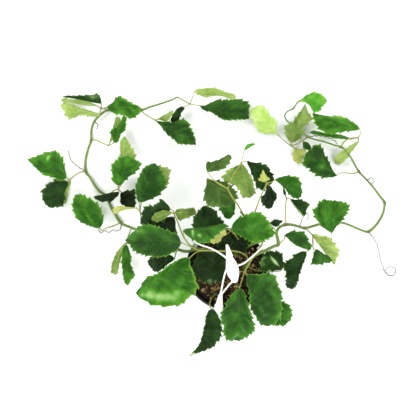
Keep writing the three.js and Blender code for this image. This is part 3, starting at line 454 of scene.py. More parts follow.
@dataclass(frozen=True)
class BladeFinish:
    """One face of a leaf blade: living tissue under a waxy skin.

    The skin gives a soft broad sheen, the tissue between the veins is a little puckered, and the veins and
    the thin cartilage line of the margin are paler than the rest. Painted highlights and painted shade are
    mixed into the green, and where the painted highlights are strongest it goes on to a pale painted sheen.
    """

    name: str
    # The green runs from deep to fresh with the painted value, which also carries painted highlights and
    # shade
    deep: str
    fresh: str
    vein: str
    margin: str
    slot: str = "leaf"
    roughness: float = 0.29
    network: float = 0.09
    veins: float = 0.2
    margin_share: float = 0.75
    gloss: float = 0.1
    # The pale colour of the painted sheen where the painted highlights are strongest
    painted_sheen_colour: str = "#b4d08c"
    # Millimetres: blotches, specks and the fields between the veinlets
    blotch_size: float = 12.5
    speck_size: float = 1 / 0.9
    field_size: Pair = (1 / 0.42, 1 / 0.26)

    def material(self) -> bpy.types.Material:
        """Builds the material.

        Returns:
            The material.
        """
        shader = Shader(self.name)
        add = shader.add
        flat = add("Attribute", {"attribute_name": "flat"})["Vector"]
        names = ("rib", "edge", "tint", "age_and_painted_light")
        rib, edge, tint, age_and_painted_light = (add("Attribute", {"attribute_name": name})["Fac"] for name in names)
        broad = {**TIMES, 1: fineness(self.blotch_size, self.blotch_size, 1.0)}
        blotch = add("TexNoise", SOFT_NOISE, {"Vector": add("VectorMath", broad, {0: flat})[0]})[0]
        fine = {**SOFT_NOISE, "Scale": 1 / self.speck_size, "Detail": 2.0}
        speck = add("TexNoise", fine, {"Vector": flat})[0]
        # The veinlets part the blade into fields, which a slower noise bends
        warp = add("TexNoise", {"Scale": 0.35, "Detail": 1.0}, {"Vector": flat})[1]
        warp = add("VectorMath", {**TIMES, 1: (0.9, 0.9, 0.0)}, {0: warp})[0]
        bent = add("VectorMath", {**TIMES, 1: fineness(*self.field_size, 1.0)}, {0: flat})[0]
        bent = add("VectorMath", PLUS, {0: bent, 1: warp})[0]
        cell = add("TexVoronoi", {"feature": "DISTANCE_TO_EDGE", "Scale": 1.0}, {"Vector": bent})["Distance"]
        line = add("MapRange", {2: 0.11, 3: 1.0, 4: 0.0}, {0: cell})[0]
        # How light the tissue is: its random tint, the painted value with its painted highlights and shade,
        # blotches and specks
        fresh = add("Math", {**TIMES_PLUS, 1: 0.1}, {0: tint, 2: age_and_painted_light})[0]
        patch = add("MapRange", {1: 0.3, 2: 0.7, 3: -0.25, 4: 0.3}, {0: blotch})[0]
        fresh = add("Math", PLUS, {0: patch, 1: fresh})[0]
        fleck = add("MapRange", {1: 0.3, 2: 0.7, 3: -0.07, 4: 0.07}, {0: speck})[0]
        fresh = add("Math", PLUS, {0: fresh, 1: fleck})[0]
        colour = add("Mix", {**BLEND, 6: linear(self.deep), 7: linear(self.fresh)}, {0: fresh})[2]
        # Where the painted highlights are strongest the green goes on to a pale painted sheen, broken up by
        # the specks
        painted_sheen = add("MapRange", {1: 0.95, 2: 2.2, 4: 0.95}, {0: fresh})[0]
        broken = add("MapRange", {1: 0.36, 2: 0.62, 3: 0.35, 4: 1.15}, {0: speck})[0]
        painted_sheen = add("Math", TIMES, {0: painted_sheen, 1: broken})[0]
        layers = ((painted_sheen, 1.0, self.painted_sheen_colour), (line, self.network, self.vein))
        layers += ((rib, self.veins, self.vein), (edge, self.margin_share, self.margin))
        for place, strength, tint_code in layers:
            share = add("Math", {**TIMES, 1: strength}, {0: place})[0]
            colour = add("Mix", {**BLEND, 7: linear(tint_code)}, {0: share, 6: colour})[2]
        bounds = {1: 0.25, 2: 0.75, 3: self.roughness - 0.06, 4: self.roughness + 0.08}
        rough = add("MapRange", bounds, {0: speck})[0]
        pucker = add("MapRange", {2: 0.35}, {0: cell})[0]
        height = add("Math", {**TIMES_PLUS, 1: 0.5}, {0: speck, 2: pucker})[0]
        return shader.finished(colour, rough, height, 0.3, {"IOR": 1.45, "Specular IOR Level": self.gloss})


@dataclass(frozen=True)
class BarkSkinFinish:
    """The skin of a stem or a petiole: young green bark that browns at the nodes.

    The skin has fine lengthwise streaks, and small pale corky dots on the older parts.
    """

    name: str
    green: str
    light: str
    brown: str
    roughness: float = 0.5
    scar: str = "#5d4327"
    cork: str = "#b9ad7a"
    cork_share: float = 0.22
    # Millimetres: the streaks, the brown patches and the way from dot to dot
    streak_size: Point = (1 / 0.9, 12.5, 1 / 0.9)
    patch_size: Point = (1 / 0.12, 20.0, 1 / 0.12)
    dot_pitch: Point = (1 / 0.34, 1 / 0.26, 1 / 0.34)

    def material(self) -> bpy.types.Material:
        """Builds the material.

        Returns:
            The material.
        """
        shader = Shader(self.name)
        add = shader.add
        flat = add("Attribute", {"attribute_name": "flat"})["Vector"]
        rib, age_and_painted_light = (add("Attribute", {"attribute_name": name})["Fac"] for name in ("rib", "age_and_painted_light"))
        spots = [
            add("VectorMath", {**TIMES, 1: fineness(*size)}, {0: flat})[0]
            for size in (self.streak_size, self.patch_size, self.dot_pitch)
        ]
        streak, patch = (add("TexNoise", SOFT_NOISE, {"Vector": spot})[0] for spot in spots[:2])
        dots = add("TexVoronoi", {"feature": "F1", "Scale": 1.0}, {"Vector": spots[2]})["Distance"]
        dot = add("MapRange", {1: 0.1, 2: 0.2, 3: 1.0, 4: 0.0}, {0: dots})[0]
        share = add("MapRange", {1: 0.35, 2: 0.65}, {0: streak})[0]
        colour = add("Mix", {**BLEND, 6: linear(self.green), 7: linear(self.light)}, {0: share})[2]
        rust = add("MapRange", {1: 0.4, 2: 0.75, 3: -0.1, 4: 0.4}, {0: patch})[0]
        rust = add("Math", PLUS, {0: rust, 1: age_and_painted_light})[0]
        layers = ((rust, 1.0, self.brown), (dot, self.cork_share, self.cork), (rib, 1.0, self.scar))
        for place, strength, code in layers:
            share = add("Math", {**TIMES, 1: strength}, {0: place})[0]
            colour = add("Mix", {**BLEND, 7: linear(code)}, {0: share, 6: colour})[2]
        bounds = {1: 0.3, 2: 0.7, 3: self.roughness - 0.08, 4: self.roughness + 0.12}
        rough = add("MapRange", bounds, {0: streak})[0]
        height = add("Math", {**TIMES_PLUS, 1: 0.7}, {0: streak, 2: dot})[0]
        return shader.finished(colour, rough, height, 0.15, {"IOR": 1.45, "Specular IOR Level": 0.4})


@dataclass(frozen=True)
class PlasticFinish:
    """Injection-moulded polypropylene.

    The moulded skin is smooth and slightly waxy, with a broad highlight, faint flow marks and a
    light film of dust and water scale. Its scuffs are drawn coarser than real, so that they show.
    """

    name: str
    body: str
    flow: str
    film: str
    roughness: float
    film_share: float
    scuffs: float
    # Millimetres: flow marks, patches of film, the moulded grain and scuffs
    flow_size: Point = (25.0, 25.0, 1 / 0.09)
    film_size: float = 1 / 0.065
    grit_size: float = 1 / 0.9
    scuff_size: Point = (1 / 1.4, 1 / 1.4, 6.25)

    def material(self) -> bpy.types.Material:
        """Builds the material.

        Returns:
            The material.
        """
        shader = Shader(self.name)
        add = shader.add
        place = add("TexCoord", {})["Object"]
        place = add("VectorMath", {**TIMES, 1: (1 / MM, 1 / MM, 1 / MM)}, {0: place})[0]
        flows = add("VectorMath", {**TIMES, 1: fineness(*self.flow_size)}, {0: place})[0]
        flow = add("TexNoise", SOFT_NOISE, {"Vector": flows})[0]
        spread = {**SOFT_NOISE, "Scale": 1 / self.film_size, "Detail": 6.0}
        film = add("TexNoise", spread, {"Vector": place})[0]
        fine = {**SOFT_NOISE, "Scale": 1 / self.grit_size, "Detail": 2.0}
        grit = add("TexNoise", fine, {"Vector": place})[0]
        rubs = add("VectorMath", {**TIMES, 1: fineness(*self.scuff_size)}, {0: place})[0]
        rub = add("TexNoise", {**SOFT_NOISE, "Detail": 2.0}, {"Vector": rubs})[0]
        scuff = add("MapRange", {1: 0.66, 2: 0.74}, {0: rub})[0]
        share = add("MapRange", {1: 0.35, 2: 0.65}, {0: flow})[0]
        colour = add("Mix", {**BLEND, 6: linear(self.body), 7: linear(self.flow)}, {0: share})[2]
        dust = add("MapRange", {1: 0.48, 2: 0.8, 4: self.film_share}, {0: film})[0]
        worn = add("Math", {**TIMES, 1: self.scuffs}, {0: scuff})[0]
        for share in (dust, worn):
            colour = add("Mix", {**BLEND, 7: linear(self.film)}, {0: share, 6: colour})[2]
        bounds = {1: 0.4, 2: 0.8, 3: self.roughness, 4: self.roughness + 0.2}
        rough = add("MapRange", bounds, {0: film})[0]
        height = add("Math", {**TIMES_PLUS, 1: -0.6}, {0: scuff, 2: grit})[0]
        return shader.finished(colour, rough, height, 0.03, {"IOR": 1.49, "Specular IOR Level": 0.5})


@dataclass(frozen=True)
class BarkChipFinish:
    """Composted bark and fibre: matt wood tissue, from black humus to fresh tan splinters.

    Fine grain runs along each chip, and dust and crumbs cling to it.
    """

    name: str
    shadow: str = "#1a110a"
    dust: str = "#6b5233"
    # Millimetres: the wood's grain along a chip, and the crumbs
    grain_size: Point = (0.625, 6.25, 0.625)
    crumb_size: float = 1 / 1.2
    stops: tuple[tuple[float, str], ...] = (
        (0.0, "#15110b"), (0.34, "#231b10"), (0.52, "#43331b"), (0.66, "#75592d"),
        (0.78, "#aa8646"), (0.88, "#cfac6a"), (0.95, "#e0c899"), (1.0, "#a88a5e"),
    )

    def material(self) -> bpy.types.Material:
        """Builds the material.

        Returns:
            The material.
        """
        shader = Shader(self.name)
        add = shader.add
        flat = add("Attribute", {"attribute_name": "flat"})["Vector"]
        tint = add("Attribute", {"attribute_name": "tint"})["Fac"]
        along = add("VectorMath", {**TIMES, 1: fineness(*self.grain_size)}, {0: flat})[0]
        grain = add("TexNoise", SOFT_NOISE, {"Vector": along})[0]
        crumbs = {**SOFT_NOISE, "Scale": 1 / self.crumb_size, "Detail": 4.0}
        crumb = add("TexNoise", crumbs, {"Vector": flat})[0]
        colour = add("ValToRGB", {}, {0: tint})[0]
        points = colour.node.color_ramp.elements
        for k, (place, code) in enumerate(self.stops):
            point = points[k] if k < 2 else points.new(place)
            point.position = place
            point.color = linear(code)
        layers = ((grain, {1: 0.3, 2: 0.7, 4: 0.55}, self.shadow),)
        layers += ((crumb, {1: 0.55, 2: 0.75, 4: 0.25}, self.dust),)
        for source, bounds, code in layers:
            share = add("MapRange", bounds, {0: source})[0]
            colour = add("Mix", {**BLEND, 7: linear(code)}, {0: share, 6: colour})[2]
        rough = add("MapRange", {1: 0.3, 2: 0.7, 3: 0.72, 4: 0.95}, {0: crumb})[0]
        height = add("Math", PLUS, {0: grain, 1: crumb})[0]
        return shader.finished(colour, rough, height, 0.4, {"IOR": 1.5, "Specular IOR Level": 0.3})


@dataclass(frozen=True)
class FloorFinish:
    """A pale painted floor: matt, with a hardly visible roller texture."""

    name: str = "matt_white_paint"
    light: str = "#fcfdfc"
    shade: str = "#f7f9f8"
    mottle_size: float = 25.0

    def material(self) -> bpy.types.Material:
        """Builds the material.

        Returns:
            The material.
        """
        shader = Shader(self.name)
        add = shader.add
        place = add("TexCoord", {})["Object"]
        mottle = add("TexNoise", {**SOFT_NOISE, "Scale": 1 / (self.mottle_size * MM)}, {"Vector": place})[0]
        share = add("MapRange", {1: 0.3, 2: 0.7}, {0: mottle})[0]
        colour = add("Mix", {**BLEND, 6: linear(self.shade), 7: linear(self.light)}, {0: share})[2]
        rough = add("MapRange", {1: 0.3, 2: 0.7, 3: 0.85, 4: 0.95}, {0: mottle})[0]
        return shader.finished(colour, rough, mottle, 0.05, {"Specular IOR Level": 0.1})


class Tone(Enum):
    """The look of a blade's face: how old it is and how much light it gets, tops before undersides."""

    BRIGHT = BladeFinish("leaf_blade_bright", "#1a4908", "#458120", "#639134", "#7aab35")
    MID = BladeFinish("leaf_blade_full_green", "#17390b", "#366c1d", "#557c34", "#6b9c35")
    DARK = BladeFinish("leaf_blade_dark", "#0e2305", "#204411", "#365620", "#4b7727", "leaf_dark")
    DEEP = BladeFinish("leaf_blade_shaded", "#0c1a05", "#172f09", "#284215", "#355c1c", "leaf_dark")
    OLIVE = BladeFinish("leaf_blade_olive", "#2a4816", "#547432", "#76803e", "#6b8937")
    LIME = BladeFinish("leaf_blade_young", "#317f16", "#6da835", "#98bf5e", "#abd36c")
    PALE = BladeFinish(
        "leaf_underside_pale", "#6f8d39", "#9eb663", "#b3c27e", "#acbd6a", "leaf_pale", 0.5, 0.3, 0.6
    )
    FADED = BladeFinish(
        "leaf_underside_faded", "#4e702a", "#819e4c", "#9aa15d", "#8d9f4c", "leaf_pale", 0.55, 0.3, 0.6
    )
    LEMON = BladeFinish(
        "leaf_underside_lemon", "#9ec253", "#c6db8f", "#d1dea2", "#bfd47d", "leaf_pale", 0.5, 0.2, 0.4
    )
    YELLOW = BladeFinish(
        "leaf_underside_yellow", "#929f44", "#bdc071", "#c2c484", "#b2b75d", "leaf_pale", 0.5, 0.25, 0.5
    )

    def number(self) -> int:
        """The finish's number in a leaf's materials, where the petiole's skin is 0."""
        return list(Tone).index(self) + 1


# The face that is turned away: young blades have a lemon back, the rest a pale or a faded one
OTHER_FACE = {
    Tone.BRIGHT: Tone.PALE, Tone.MID: Tone.PALE, Tone.DARK: Tone.FADED, Tone.DEEP: Tone.FADED,
    Tone.OLIVE: Tone.FADED, Tone.LIME: Tone.LEMON, Tone.PALE: Tone.MID, Tone.FADED: Tone.OLIVE,
    Tone.LEMON: Tone.LIME, Tone.YELLOW: Tone.BRIGHT,
}
PETIOLE_SKIN = BarkSkinFinish("petiole_skin", "#6c7a30", "#979a4a", "#6b5a2e", 0.5)
STEM_SKIN = BarkSkinFinish("stem_bark_green", "#4b6a26", "#6f8f3c", "#544a26", 0.55)
TENDRIL_SKIN = BarkSkinFinish("tendril_skin_dry", "#3a3c30", "#55533f", "#44382c", 0.6)
POT_PLASTIC = PlasticFinish("moulded_polypropylene_brown", "#17110d", "#221913", "#5a5044", 0.3, 0.25, 0.35)
HANGER_PLASTIC = PlasticFinish(
    "moulded_polypropylene_white", "#f3f3ef", "#fbfbf8", "#dcd8cc", 0.34, 0.18, 0.1
)
BARK_CHIPS = BarkChipFinish("composted_bark")


class Wardrobe:
    """Makes each finish once and hands it out by name."""

    def __init__(self) -> None:
        """Starts with no material made."""
        self.made: dict[str, bpy.types.Material] = {}

    def of(self, finish: BladeFinish | BarkSkinFinish | PlasticFinish | BarkChipFinish) -> bpy.types.Material:
        """The material of a finish."""
        if finish.name not in self.made:
            self.made[finish.name] = finish.material()
        return self.made[finish.name]

    def blades(self) -> list[bpy.types.Material]:
        """The petiole skin and every blade finish, in the order of their numbers."""
        return [self.of(PETIOLE_SKIN)] + [self.of(tone.value) for tone in Tone]


def rod_rings(places: Array, radii: Array, sides: int) -> Array:
    """Round rings along a curve.

    Args:
        places: the curve's points.
        radii: the radius at each point.
        sides: how many points a ring has.

    Returns:
        The points of each ring.
    """
    first, second = turning_frames(places)
    angle = math.tau * np.arange(sides) / sides
    spokes = first[:, None] * np.cos(angle)[None, :, None] + second[:, None] * np.sin(angle)[None, :, None]
    return places[:, None] + spokes * radii[:, None, None]


def rod_flat(places: Array, radii: Array, sides: int, seed: float) -> Array:
    """Unrolls a rod, so that a grain can run along it.

    Args:
        places: the rod's line.
        radii: the radius at each point of it.
        sides: how many points a ring has.
        seed: a number that shifts the grain.

    Returns:
        The unrolled place of each point, in millimetres.
    """
    angle = math.tau * np.arange(sides) / sides
    down = np.broadcast_to(travel(places)[:, None], (len(places), sides))
    wide = np.full((len(places), 1), float(radii.mean()))
    return np.stack([wide * np.cos(angle) + 17 * seed, down, wide * np.sin(angle)], -1)


def add_rod(
    draft: Draft, places: Array, radii: Array, sides: int, marks: Marks | None = None, seed: float = 0.0
) -> None:
    """Adds a round rod with rounded ends to a piece.

    Args:
        draft: the piece.
        places: the rod's line.
        radii: the radius at each point of it.
        sides: how many points a ring has.
        marks: values painted along the rod, one for each point of its line.
        seed: a number that shifts its grain.
    """
    tip = unit(places[-1] - places[-2])
    root = unit(places[0] - places[1])
    # Each step of an end stands further out, as a share of the radius, and is narrower
    steps = ((0.45, 0.86), (0.8, 0.5))
    before = [places[0] + root * radii[0] * out for out, _ in reversed(steps)]
    after = [places[-1] + tip * radii[-1] * out for out, _ in steps]
    line = np.vstack([before, places, after])
    narrow = np.array([share for _, share in steps])
    swell = np.concatenate([radii[0] * narrow[::-1], radii, radii[-1] * narrow])
    painted: Marks = {"flat": rod_flat(line, swell, sides, seed)}
    for name, values in (marks or {}).items():
        spread = np.broadcast_to(np.asarray(values, float), (len(places),))
        painted[name] = np.pad(spread, len(steps), mode="edge")[:, None]
    draft.add_rings(rod_rings(line, swell, sides), painted)


@dataclass(frozen=True)
class Leaflet:
    """One blade, from its base to its tip, with its half widths to the left and right as seen from above.

    Sizes are in millimetres and turns in degrees. The half widths stand at the stations of BladeForm.
    Shade lightens the whole blade above its tone, or below 0 darkens it. The split paints the left half
    lighter and the right half darker, as light falls on a folded blade, and the other way round below 0. A
    light is a painted highlight or, below 0, a painted shadow: its place along and across, its reach along
    and across, and its strength.
    """

    at: Point
    to: Point
    left: Widths
    right: Widths
    tone: Tone = Tone.MID
    roll: Pair = (0.0, 0.0)
    fold: float = 12.0
    curl: float = 0.16
    arch: float = 0.06
    sway: float = 0.0
    sweep: float = 0.42
    wave: float = 1.5
    under: bool = False
    stalk: Route = ()
    start: Point | None = None
    shade: float = 0.0
    # Painted light on one half of the blade and painted shade on the other
    split: float = 0.0
    # Painted highlights and painted shadows
    lights: tuple[Widths, ...] = ()


@dataclass(frozen=True)
class BladeForm:
    """The sizes that all blades share."""

    thickness: float = 0.46
    margin_thinning: float = 0.35
    base_width: float = 1.3
    tip_width: float = 0.4
    stations: Widths = (0.1, 0.3, 0.5, 0.7, 0.9)
    margin_steps: int = 201
    sweep_pull: float = 1.2
    vein_pitch: float = 14.0
    veins: tuple[int, int] = (4, 12)
    first_vein: float = 0.012
    last_vein: float = 0.885
    vein_crowding: float = 1.25
    vein_jitter: float = 0.28
    # Half of the midrib, its foot and the margin's line, each in millimetres and as the most of the width
    rib_half: Pair = (0.45, 0.08)
    rib_foot: Pair = (1.1, 0.18)
    margin_line: Pair = (1.1, 0.07)
    pillow: float = 0.9
    quilt: float = 0.25
    quilt_pitch: float = 9.0
    bulge: float = 1.3
    bulge_pitch: Pair = (46.0, 37.0)
    full_body: float = 12.0
    groove: float = 0.3
    vein_ridge: float = 0.5
    midrib_ridge: float = 1.0
    tooth_share: float = 0.18
    narrow_tooth_share: float = 0.16
    least_tooth: float = 2.4
    most_tooth: float = 4.2
    tooth_drift: float = 4.0
    tooth_proud: float = 0.45
    lobing: float = 0.05
    ruffle: float = 1.5
    wave_turns: float = 2.6
    wave_lag: float = 2.1
    column_pitch: float = 3.6
    columns: tuple[int, int] = (6, 15)
    # Where rows lie between two side veins, and how far out the margin stands there
    phases: tuple[float, ...] = (0.0, 0.06, 0.18, 0.34, 0.5, 0.56, 0.7, 0.86, 0.94)
    major: tuple[float, ...] = (1.0, 0.12, 0.05, 0.16, 0.3, 0.34, 0.5, 0.82, 0.94)
    minor: tuple[float, ...] = (0.0, 0.0, 0.12, 0.5, 1.0, 0.02, 0.0, 0.0, 0.0)


@dataclass
class Blade:
    """Builds the fine surface of one leaflet."""

    leaflet: Leaflet
    seed: float
    form: BladeForm = BladeForm()

    def __post_init__(self) -> None:
        """Works out the directions that the blade is set out in."""
        self.start = np.array(self.leaflet.at, float)
        along = np.array(self.leaflet.to, float) - self.start
        self.length = float(np.linalg.norm(along))
        self.along = along / self.length
        self.up = unit(UP - self.along * self.along[2])
        self.right = np.cross(self.along, self.up)
        self.pull = math.exp(-self.form.sweep_pull * self.leaflet.sweep)

    def rows(self) -> dict[str, Array]:
        """Where the rows of points lie along the midrib.

        Returns:
            For each row its place, its phase between two side veins, the number of the side vein
            before it, and how far the large and the small tooth reach there.
        """
        form = self.form
        run = (self.margin_run(self.leaflet.left)[1][-1] + self.margin_run(self.leaflet.right)[1][-1]) / 2
        count = int(np.clip(round(float(run) / form.vein_pitch), *form.veins))
        stray = np.array([chance(self.seed + 0.37, k + 1) - 0.5 for k in range(count)])
        stray[[0, -1]] = 0.0
        spread = np.linspace(0, 1, count) ** form.vein_crowding + 2 * form.vein_jitter * stray / count
        veins = np.append(form.first_vein + (form.last_vein - form.first_vein) * spread, 1.0)
        between = veins[:-1, None] + np.array(form.phases) * np.diff(veins)[:, None]
        columns = {
            "place": (0.0, between, 1.0),
            "phase": (0.5, np.tile(form.phases, count), 0.0),
            "number": (0.0, np.repeat(np.arange(count), len(form.phases)), count),
            "major": (1.0, np.tile(form.major, count), 1.0),
            "minor": (0.0, np.tile(form.minor, count), 0.0),
        }
        return {name: np.hstack([a, np.ravel(b), c])[:, None] for name, (a, b, c) in columns.items()}

    def margin_at(self, widths: Widths, place: Array) -> Array:
        """Draws the margin as a smooth line through the half widths.

        Args:
            widths: the half widths at the five stations.
            place: places along the midrib, from 0 to 1.

        Returns:
            How far the margin stands from the midrib at each place.
        """
        stops = np.array([0.0, *self.form.stations, 1.0])
        values = np.array([self.form.base_width, *widths, self.form.tip_width])
        last = len(stops) - 1
        before = np.maximum(np.arange(last + 1) - 1, 0)
        after = np.minimum(np.arange(last + 1) + 1, last)
        slopes = (values[after] - values[before]) / (stops[after] - stops[before])
        k = np.clip(np.searchsorted(stops, place, side="right") - 1, 0, last - 1)
        span = stops[k + 1] - stops[k]
        t = (place - stops[k]) / span
        rise, leaving, arriving = values[k + 1] - values[k], slopes[k] * span, slopes[k + 1] * span
        bend = 3 * rise - 2 * leaving - arriving
        width = values[k] + t * leaving + t * t * bend + t**3 * (leaving + arriving - 2 * rise)
        # A broad end of the fine blade is rounder than the solid one, and a narrow one as straight
        blunt_base, blunt_tip = (
            smooth(0.35, 0.75, widths[end] / widths[inner]) for end, inner in ((0, 1), (-1, -2))
        )
        base = t + blunt_base * (np.sin(math.pi / 2 * t) ** 0.85 - t)
        tip = t + blunt_tip * (1 - np.clip(np.cos(math.pi / 2 * t), 0, 1) ** 0.8 - t)
        return np.select([k == 0, k == last - 1], [values[k] + rise * base, values[k] + rise * tip], width)

    def margin_run(self, widths: Widths) -> tuple[Array, Array]:
        """Places from the base to the tip, and how long the margin is up to each of them.

        Args:
            widths: the half widths at the five stations.

        Returns:
            The places and the lengths.
        """
        stops = np.linspace(0, 1, self.form.margin_steps)
        steps = np.hypot(np.diff(stops) * self.length, np.diff(self.margin_at(widths, stops)))
        return stops, np.concatenate([[0.0], np.cumsum(steps)])

    def row_ends(self, place: Array, side: int) -> tuple[Array, Array]:
        """Where the rows that leave the midrib at a place meet the margin, evenly spread along it.

        Args:
            place: places along the midrib.
            side: -1 for the left half and 1 for the right one.

        Returns:
            How far forward of its place each row ends, and its half width.
        """
        form = self.form
        widths = self.leaflet.left if side < 0 else self.leaflet.right
        stops, run = self.margin_run(widths)
        outer = np.interp(place**self.pull * run[-1], run, stops)
        width = np.maximum(self.margin_at(widths, outer), form.base_width)
        width = np.where(place >= 1, form.tip_width, np.where(place <= 0, form.base_width, width))
        return (outer - place) * self.length, width

    def add_to(self, draft: Draft) -> None:
        """Adds the blade to a piece as one closed thin form.

        Args:
            draft: the piece.
        """
        left, right = (HalfBlade(self, side).surface() for side in (-1, 1))
        joined = {name: np.concatenate([left[name][:, ::-1], right[name][:, 1:]], axis=1) for name in left}
        rings = np.concatenate([joined.pop("over"), joined.pop("below")[:, ::-1]], axis=1)
        marks: Marks = {name: np.concatenate([v, v[:, ::-1]], axis=1) for name, v in joined.items()}
        marks["tint"] = 2 * chance(self.seed, 7.7) - 1
        tone, around = self.leaflet.tone, rings.shape[1]
        finish = np.full(around, OTHER_FACE[tone].number())
        finish[: around // 2] = tone.number()
        draft.add_rings(rings, marks, finish, sheet=True)


@dataclass
class HalfBlade:
    """One half of a blade: rows that follow the side veins, and columns from the midrib to the margin."""

    blade: Blade
    side: int

    def __post_init__(self) -> None:
        """Sets out the rows and columns, and each row's own luck."""
        form, rows = self.blade.form, self.blade.rows()
        self.place, self.phase, self.number = rows["place"], rows["phase"], rows["number"]
        self.odd = self.blade.seed + (0.5 if self.side < 0 else 0.0)
        self.ahead, width = self.blade.row_ends(self.place, self.side)
        turns = 1.3 * self.place + chance(self.odd, 31), 2.7 * self.place + self.odd
        sway = np.sin(math.tau * turns[0]) + 0.7 * np.sin(math.tau * turns[1])
        lobed = np.maximum(width * (1 + form.lobing * sway * self.place), form.base_width)
        self.width = np.where(self.place >= 1, width, lobed)
        self.share = self.shares()
        self.luck, self.next_luck = self.lucks(self.odd, 1), self.lucks(self.odd, 2)
        self.drift = (self.luck - 0.5) * (1 - self.phase) + (self.next_luck - 0.5) * self.phase
        self.body = np.minimum(1.0, self.width / form.full_body)
        # Nothing swells where the blade runs out, at its base and its tip
        self.plain = smooth(0.02, 0.1, self.place) * smooth(0.0, 0.06, 1 - self.place)
        self.reach = np.maximum(rows["major"], rows["minor"] * (0.2 + 0.6 * self.lucks(self.odd + 0.21, 1)))
        self.face = -1.0 if self.blade.leaflet.under else 1.0
        self.bulge = self.waves()

    def lucks(self, odd: float, shift: int) -> Array:
        """A repeatable number from 0 to 1 for each row, from the side vein before it."""
        return np.array([chance(odd, n + shift) for n in self.number.ravel()])[:, None]

    def shares(self) -> Array:
        """How far out of the half width each column stands, from 0 at the midrib to 1.

        Returns:
            A share for each point.
        """
        form, width = self.blade.form, self.width
        near, far = (np.minimum(size / width, most) for size, most in (form.rib_half, form.rib_foot))
        margin = np.maximum(1 - form.margin_line[0] / width, 1 - form.margin_line[1])
        count = int(np.clip(round(float(width.max()) / form.column_pitch), *form.columns))
        inner = [far + (margin - far) * s for s in np.linspace(0.07, 0.94, count)]
        return np.hstack([np.zeros_like(width), near, far, *inner, margin, np.ones_like(width)])

    def notch(self) -> Array:
        """How deep the margin is cut back between its teeth, fading towards the midrib.

        Returns:
            The depth at each point, in millimetres.
        """
        form, width = self.blade.form, self.width
        broad = float(width.max())
        least = min(form.least_tooth, form.narrow_tooth_share * broad)
        depth = np.clip(form.tooth_share * broad, least, form.most_tooth) * (0.55 + 0.95 * self.next_luck)
        way = self.place**self.blade.pull
        depth = np.minimum(depth, 0.45 * width) * smooth(0.05, 0.2, way) * smooth(0.0, 0.1, 1.02 - way)
        return depth * (1 - self.reach - form.tooth_proud) * smooth(0.6, 1.0, self.share)

    def waves(self) -> Array:
        """The broad unevenness of the blade, as three crossing waves.

        Returns:
            The unevenness at each point, with no unit.
        """
        pitch_along, pitch_across = self.blade.form.bulge_pitch
        across = self.side * self.share * self.width / pitch_across
        along = self.blade.length * self.place / pitch_along
        shift = [math.tau * chance(self.blade.seed, k) for k in (11, 12, 13)]
        bulge = np.sin(math.tau * (across + 0.35 * along) + shift[0])
        bulge = bulge + np.sin(math.tau * (along - 0.5 * across) + shift[1])
        return bulge + 0.6 * np.sin(math.tau * (1.7 * across + 1.3 * along) + shift[2])

    def lift(self) -> Array:
        """The height of the blade's middle over the flat, in millimetres.

        Returns:
            The height at each point.
        """
        leaflet, form, share, face = self.blade.leaflet, self.blade.form, self.share, self.face
        fold = math.tan(math.radians(leaflet.fold))
        arc = np.sin(math.pi * np.minimum(share, 0.75))
        swell = np.sin(math.pi * self.phase) ** 0.8 - 0.5
        lift = face * share * self.width * (fold - leaflet.curl * share)
        lift = lift + face * self.plain * form.pillow * (0.55 + 0.9 * self.luck) * swell * arc * self.body
        lift = lift + form.bulge * self.bulge * self.plain * self.body
        quilt = np.sin(math.tau * (share * self.width / form.quilt_pitch + self.luck))
        lift = lift + face * self.plain * form.quilt * quilt * np.sin(math.pi * self.phase) * arc * self.body
        lag = form.wave_lag if self.side < 0 else 0.0
        wave = np.sin(2 * form.wave_turns * self.place * math.pi + self.blade.seed * 1.7 + lag)
        lift = lift + leaflet.wave * share**2 * wave
        return lift + 2 * form.ruffle * self.drift * self.plain * share**3 * self.body

    def freshness_and_painted_light(self, down: Array) -> Array:
        """How fresh and light the tissue is.

        The tissue is lighter towards the margin and the tip. Painted shade and light lie across each pleat
        between two side veins and on the broad waves, one half is painted lighter than the other, and the
        painted highlights and shadows come last.

        Args:
            down: how far along the blade each point stands, in millimetres.

        Returns:
            The painted value, about 0 for dark tissue and 1 for light, with painted light and shade in it.
        """
        leaflet, share, luck = self.blade.leaflet, self.share, self.luck
        # Painted shade and light across each pleat, on its two flanks between two side veins
        pleat_shading = np.sin(math.tau * (self.phase - 0.12)) * smooth(0.08, 0.4, share) * self.plain
        fresh = leaflet.shade + 0.12 + 0.26 * smooth(0.4, 1.0, share) + 0.22 * smooth(0.5, 1.0, self.place)
        # Painted light on one half of the blade and painted shade on the other
        fresh = fresh - 0.5 * self.side * leaflet.split * smooth(0.0, 0.12, share)
        fresh = fresh + (0.02 + 0.06 * luck) * pleat_shading
        # Painted bands of light and shade between the veins, and painted light on the crests of the broad
        # waves
        fresh = fresh + 0.2 * (luck - 0.5) * np.sin(math.pi * self.phase) + 0.13 * self.bulge
        # The blade's painted highlights and painted shadows
        for along_at, across_at, along_reach, across_reach, strength in leaflet.lights:
            away = ((down / self.blade.length - along_at) / along_reach) ** 2
            fresh = fresh + strength * np.exp(-away - ((self.side * share - across_at) / across_reach) ** 2)
        return fresh

    def surface(self) -> dict[str, Array]:
        """Sets out the half.

        Returns:
            The points of the upper and the lower face from the midrib outwards, and their marks.
        """
        blade, leaflet, form = self.blade, self.blade.leaflet, self.blade.form
        place, phase, share = self.place, self.phase, self.share
        notch, lift = self.notch(), self.lift()
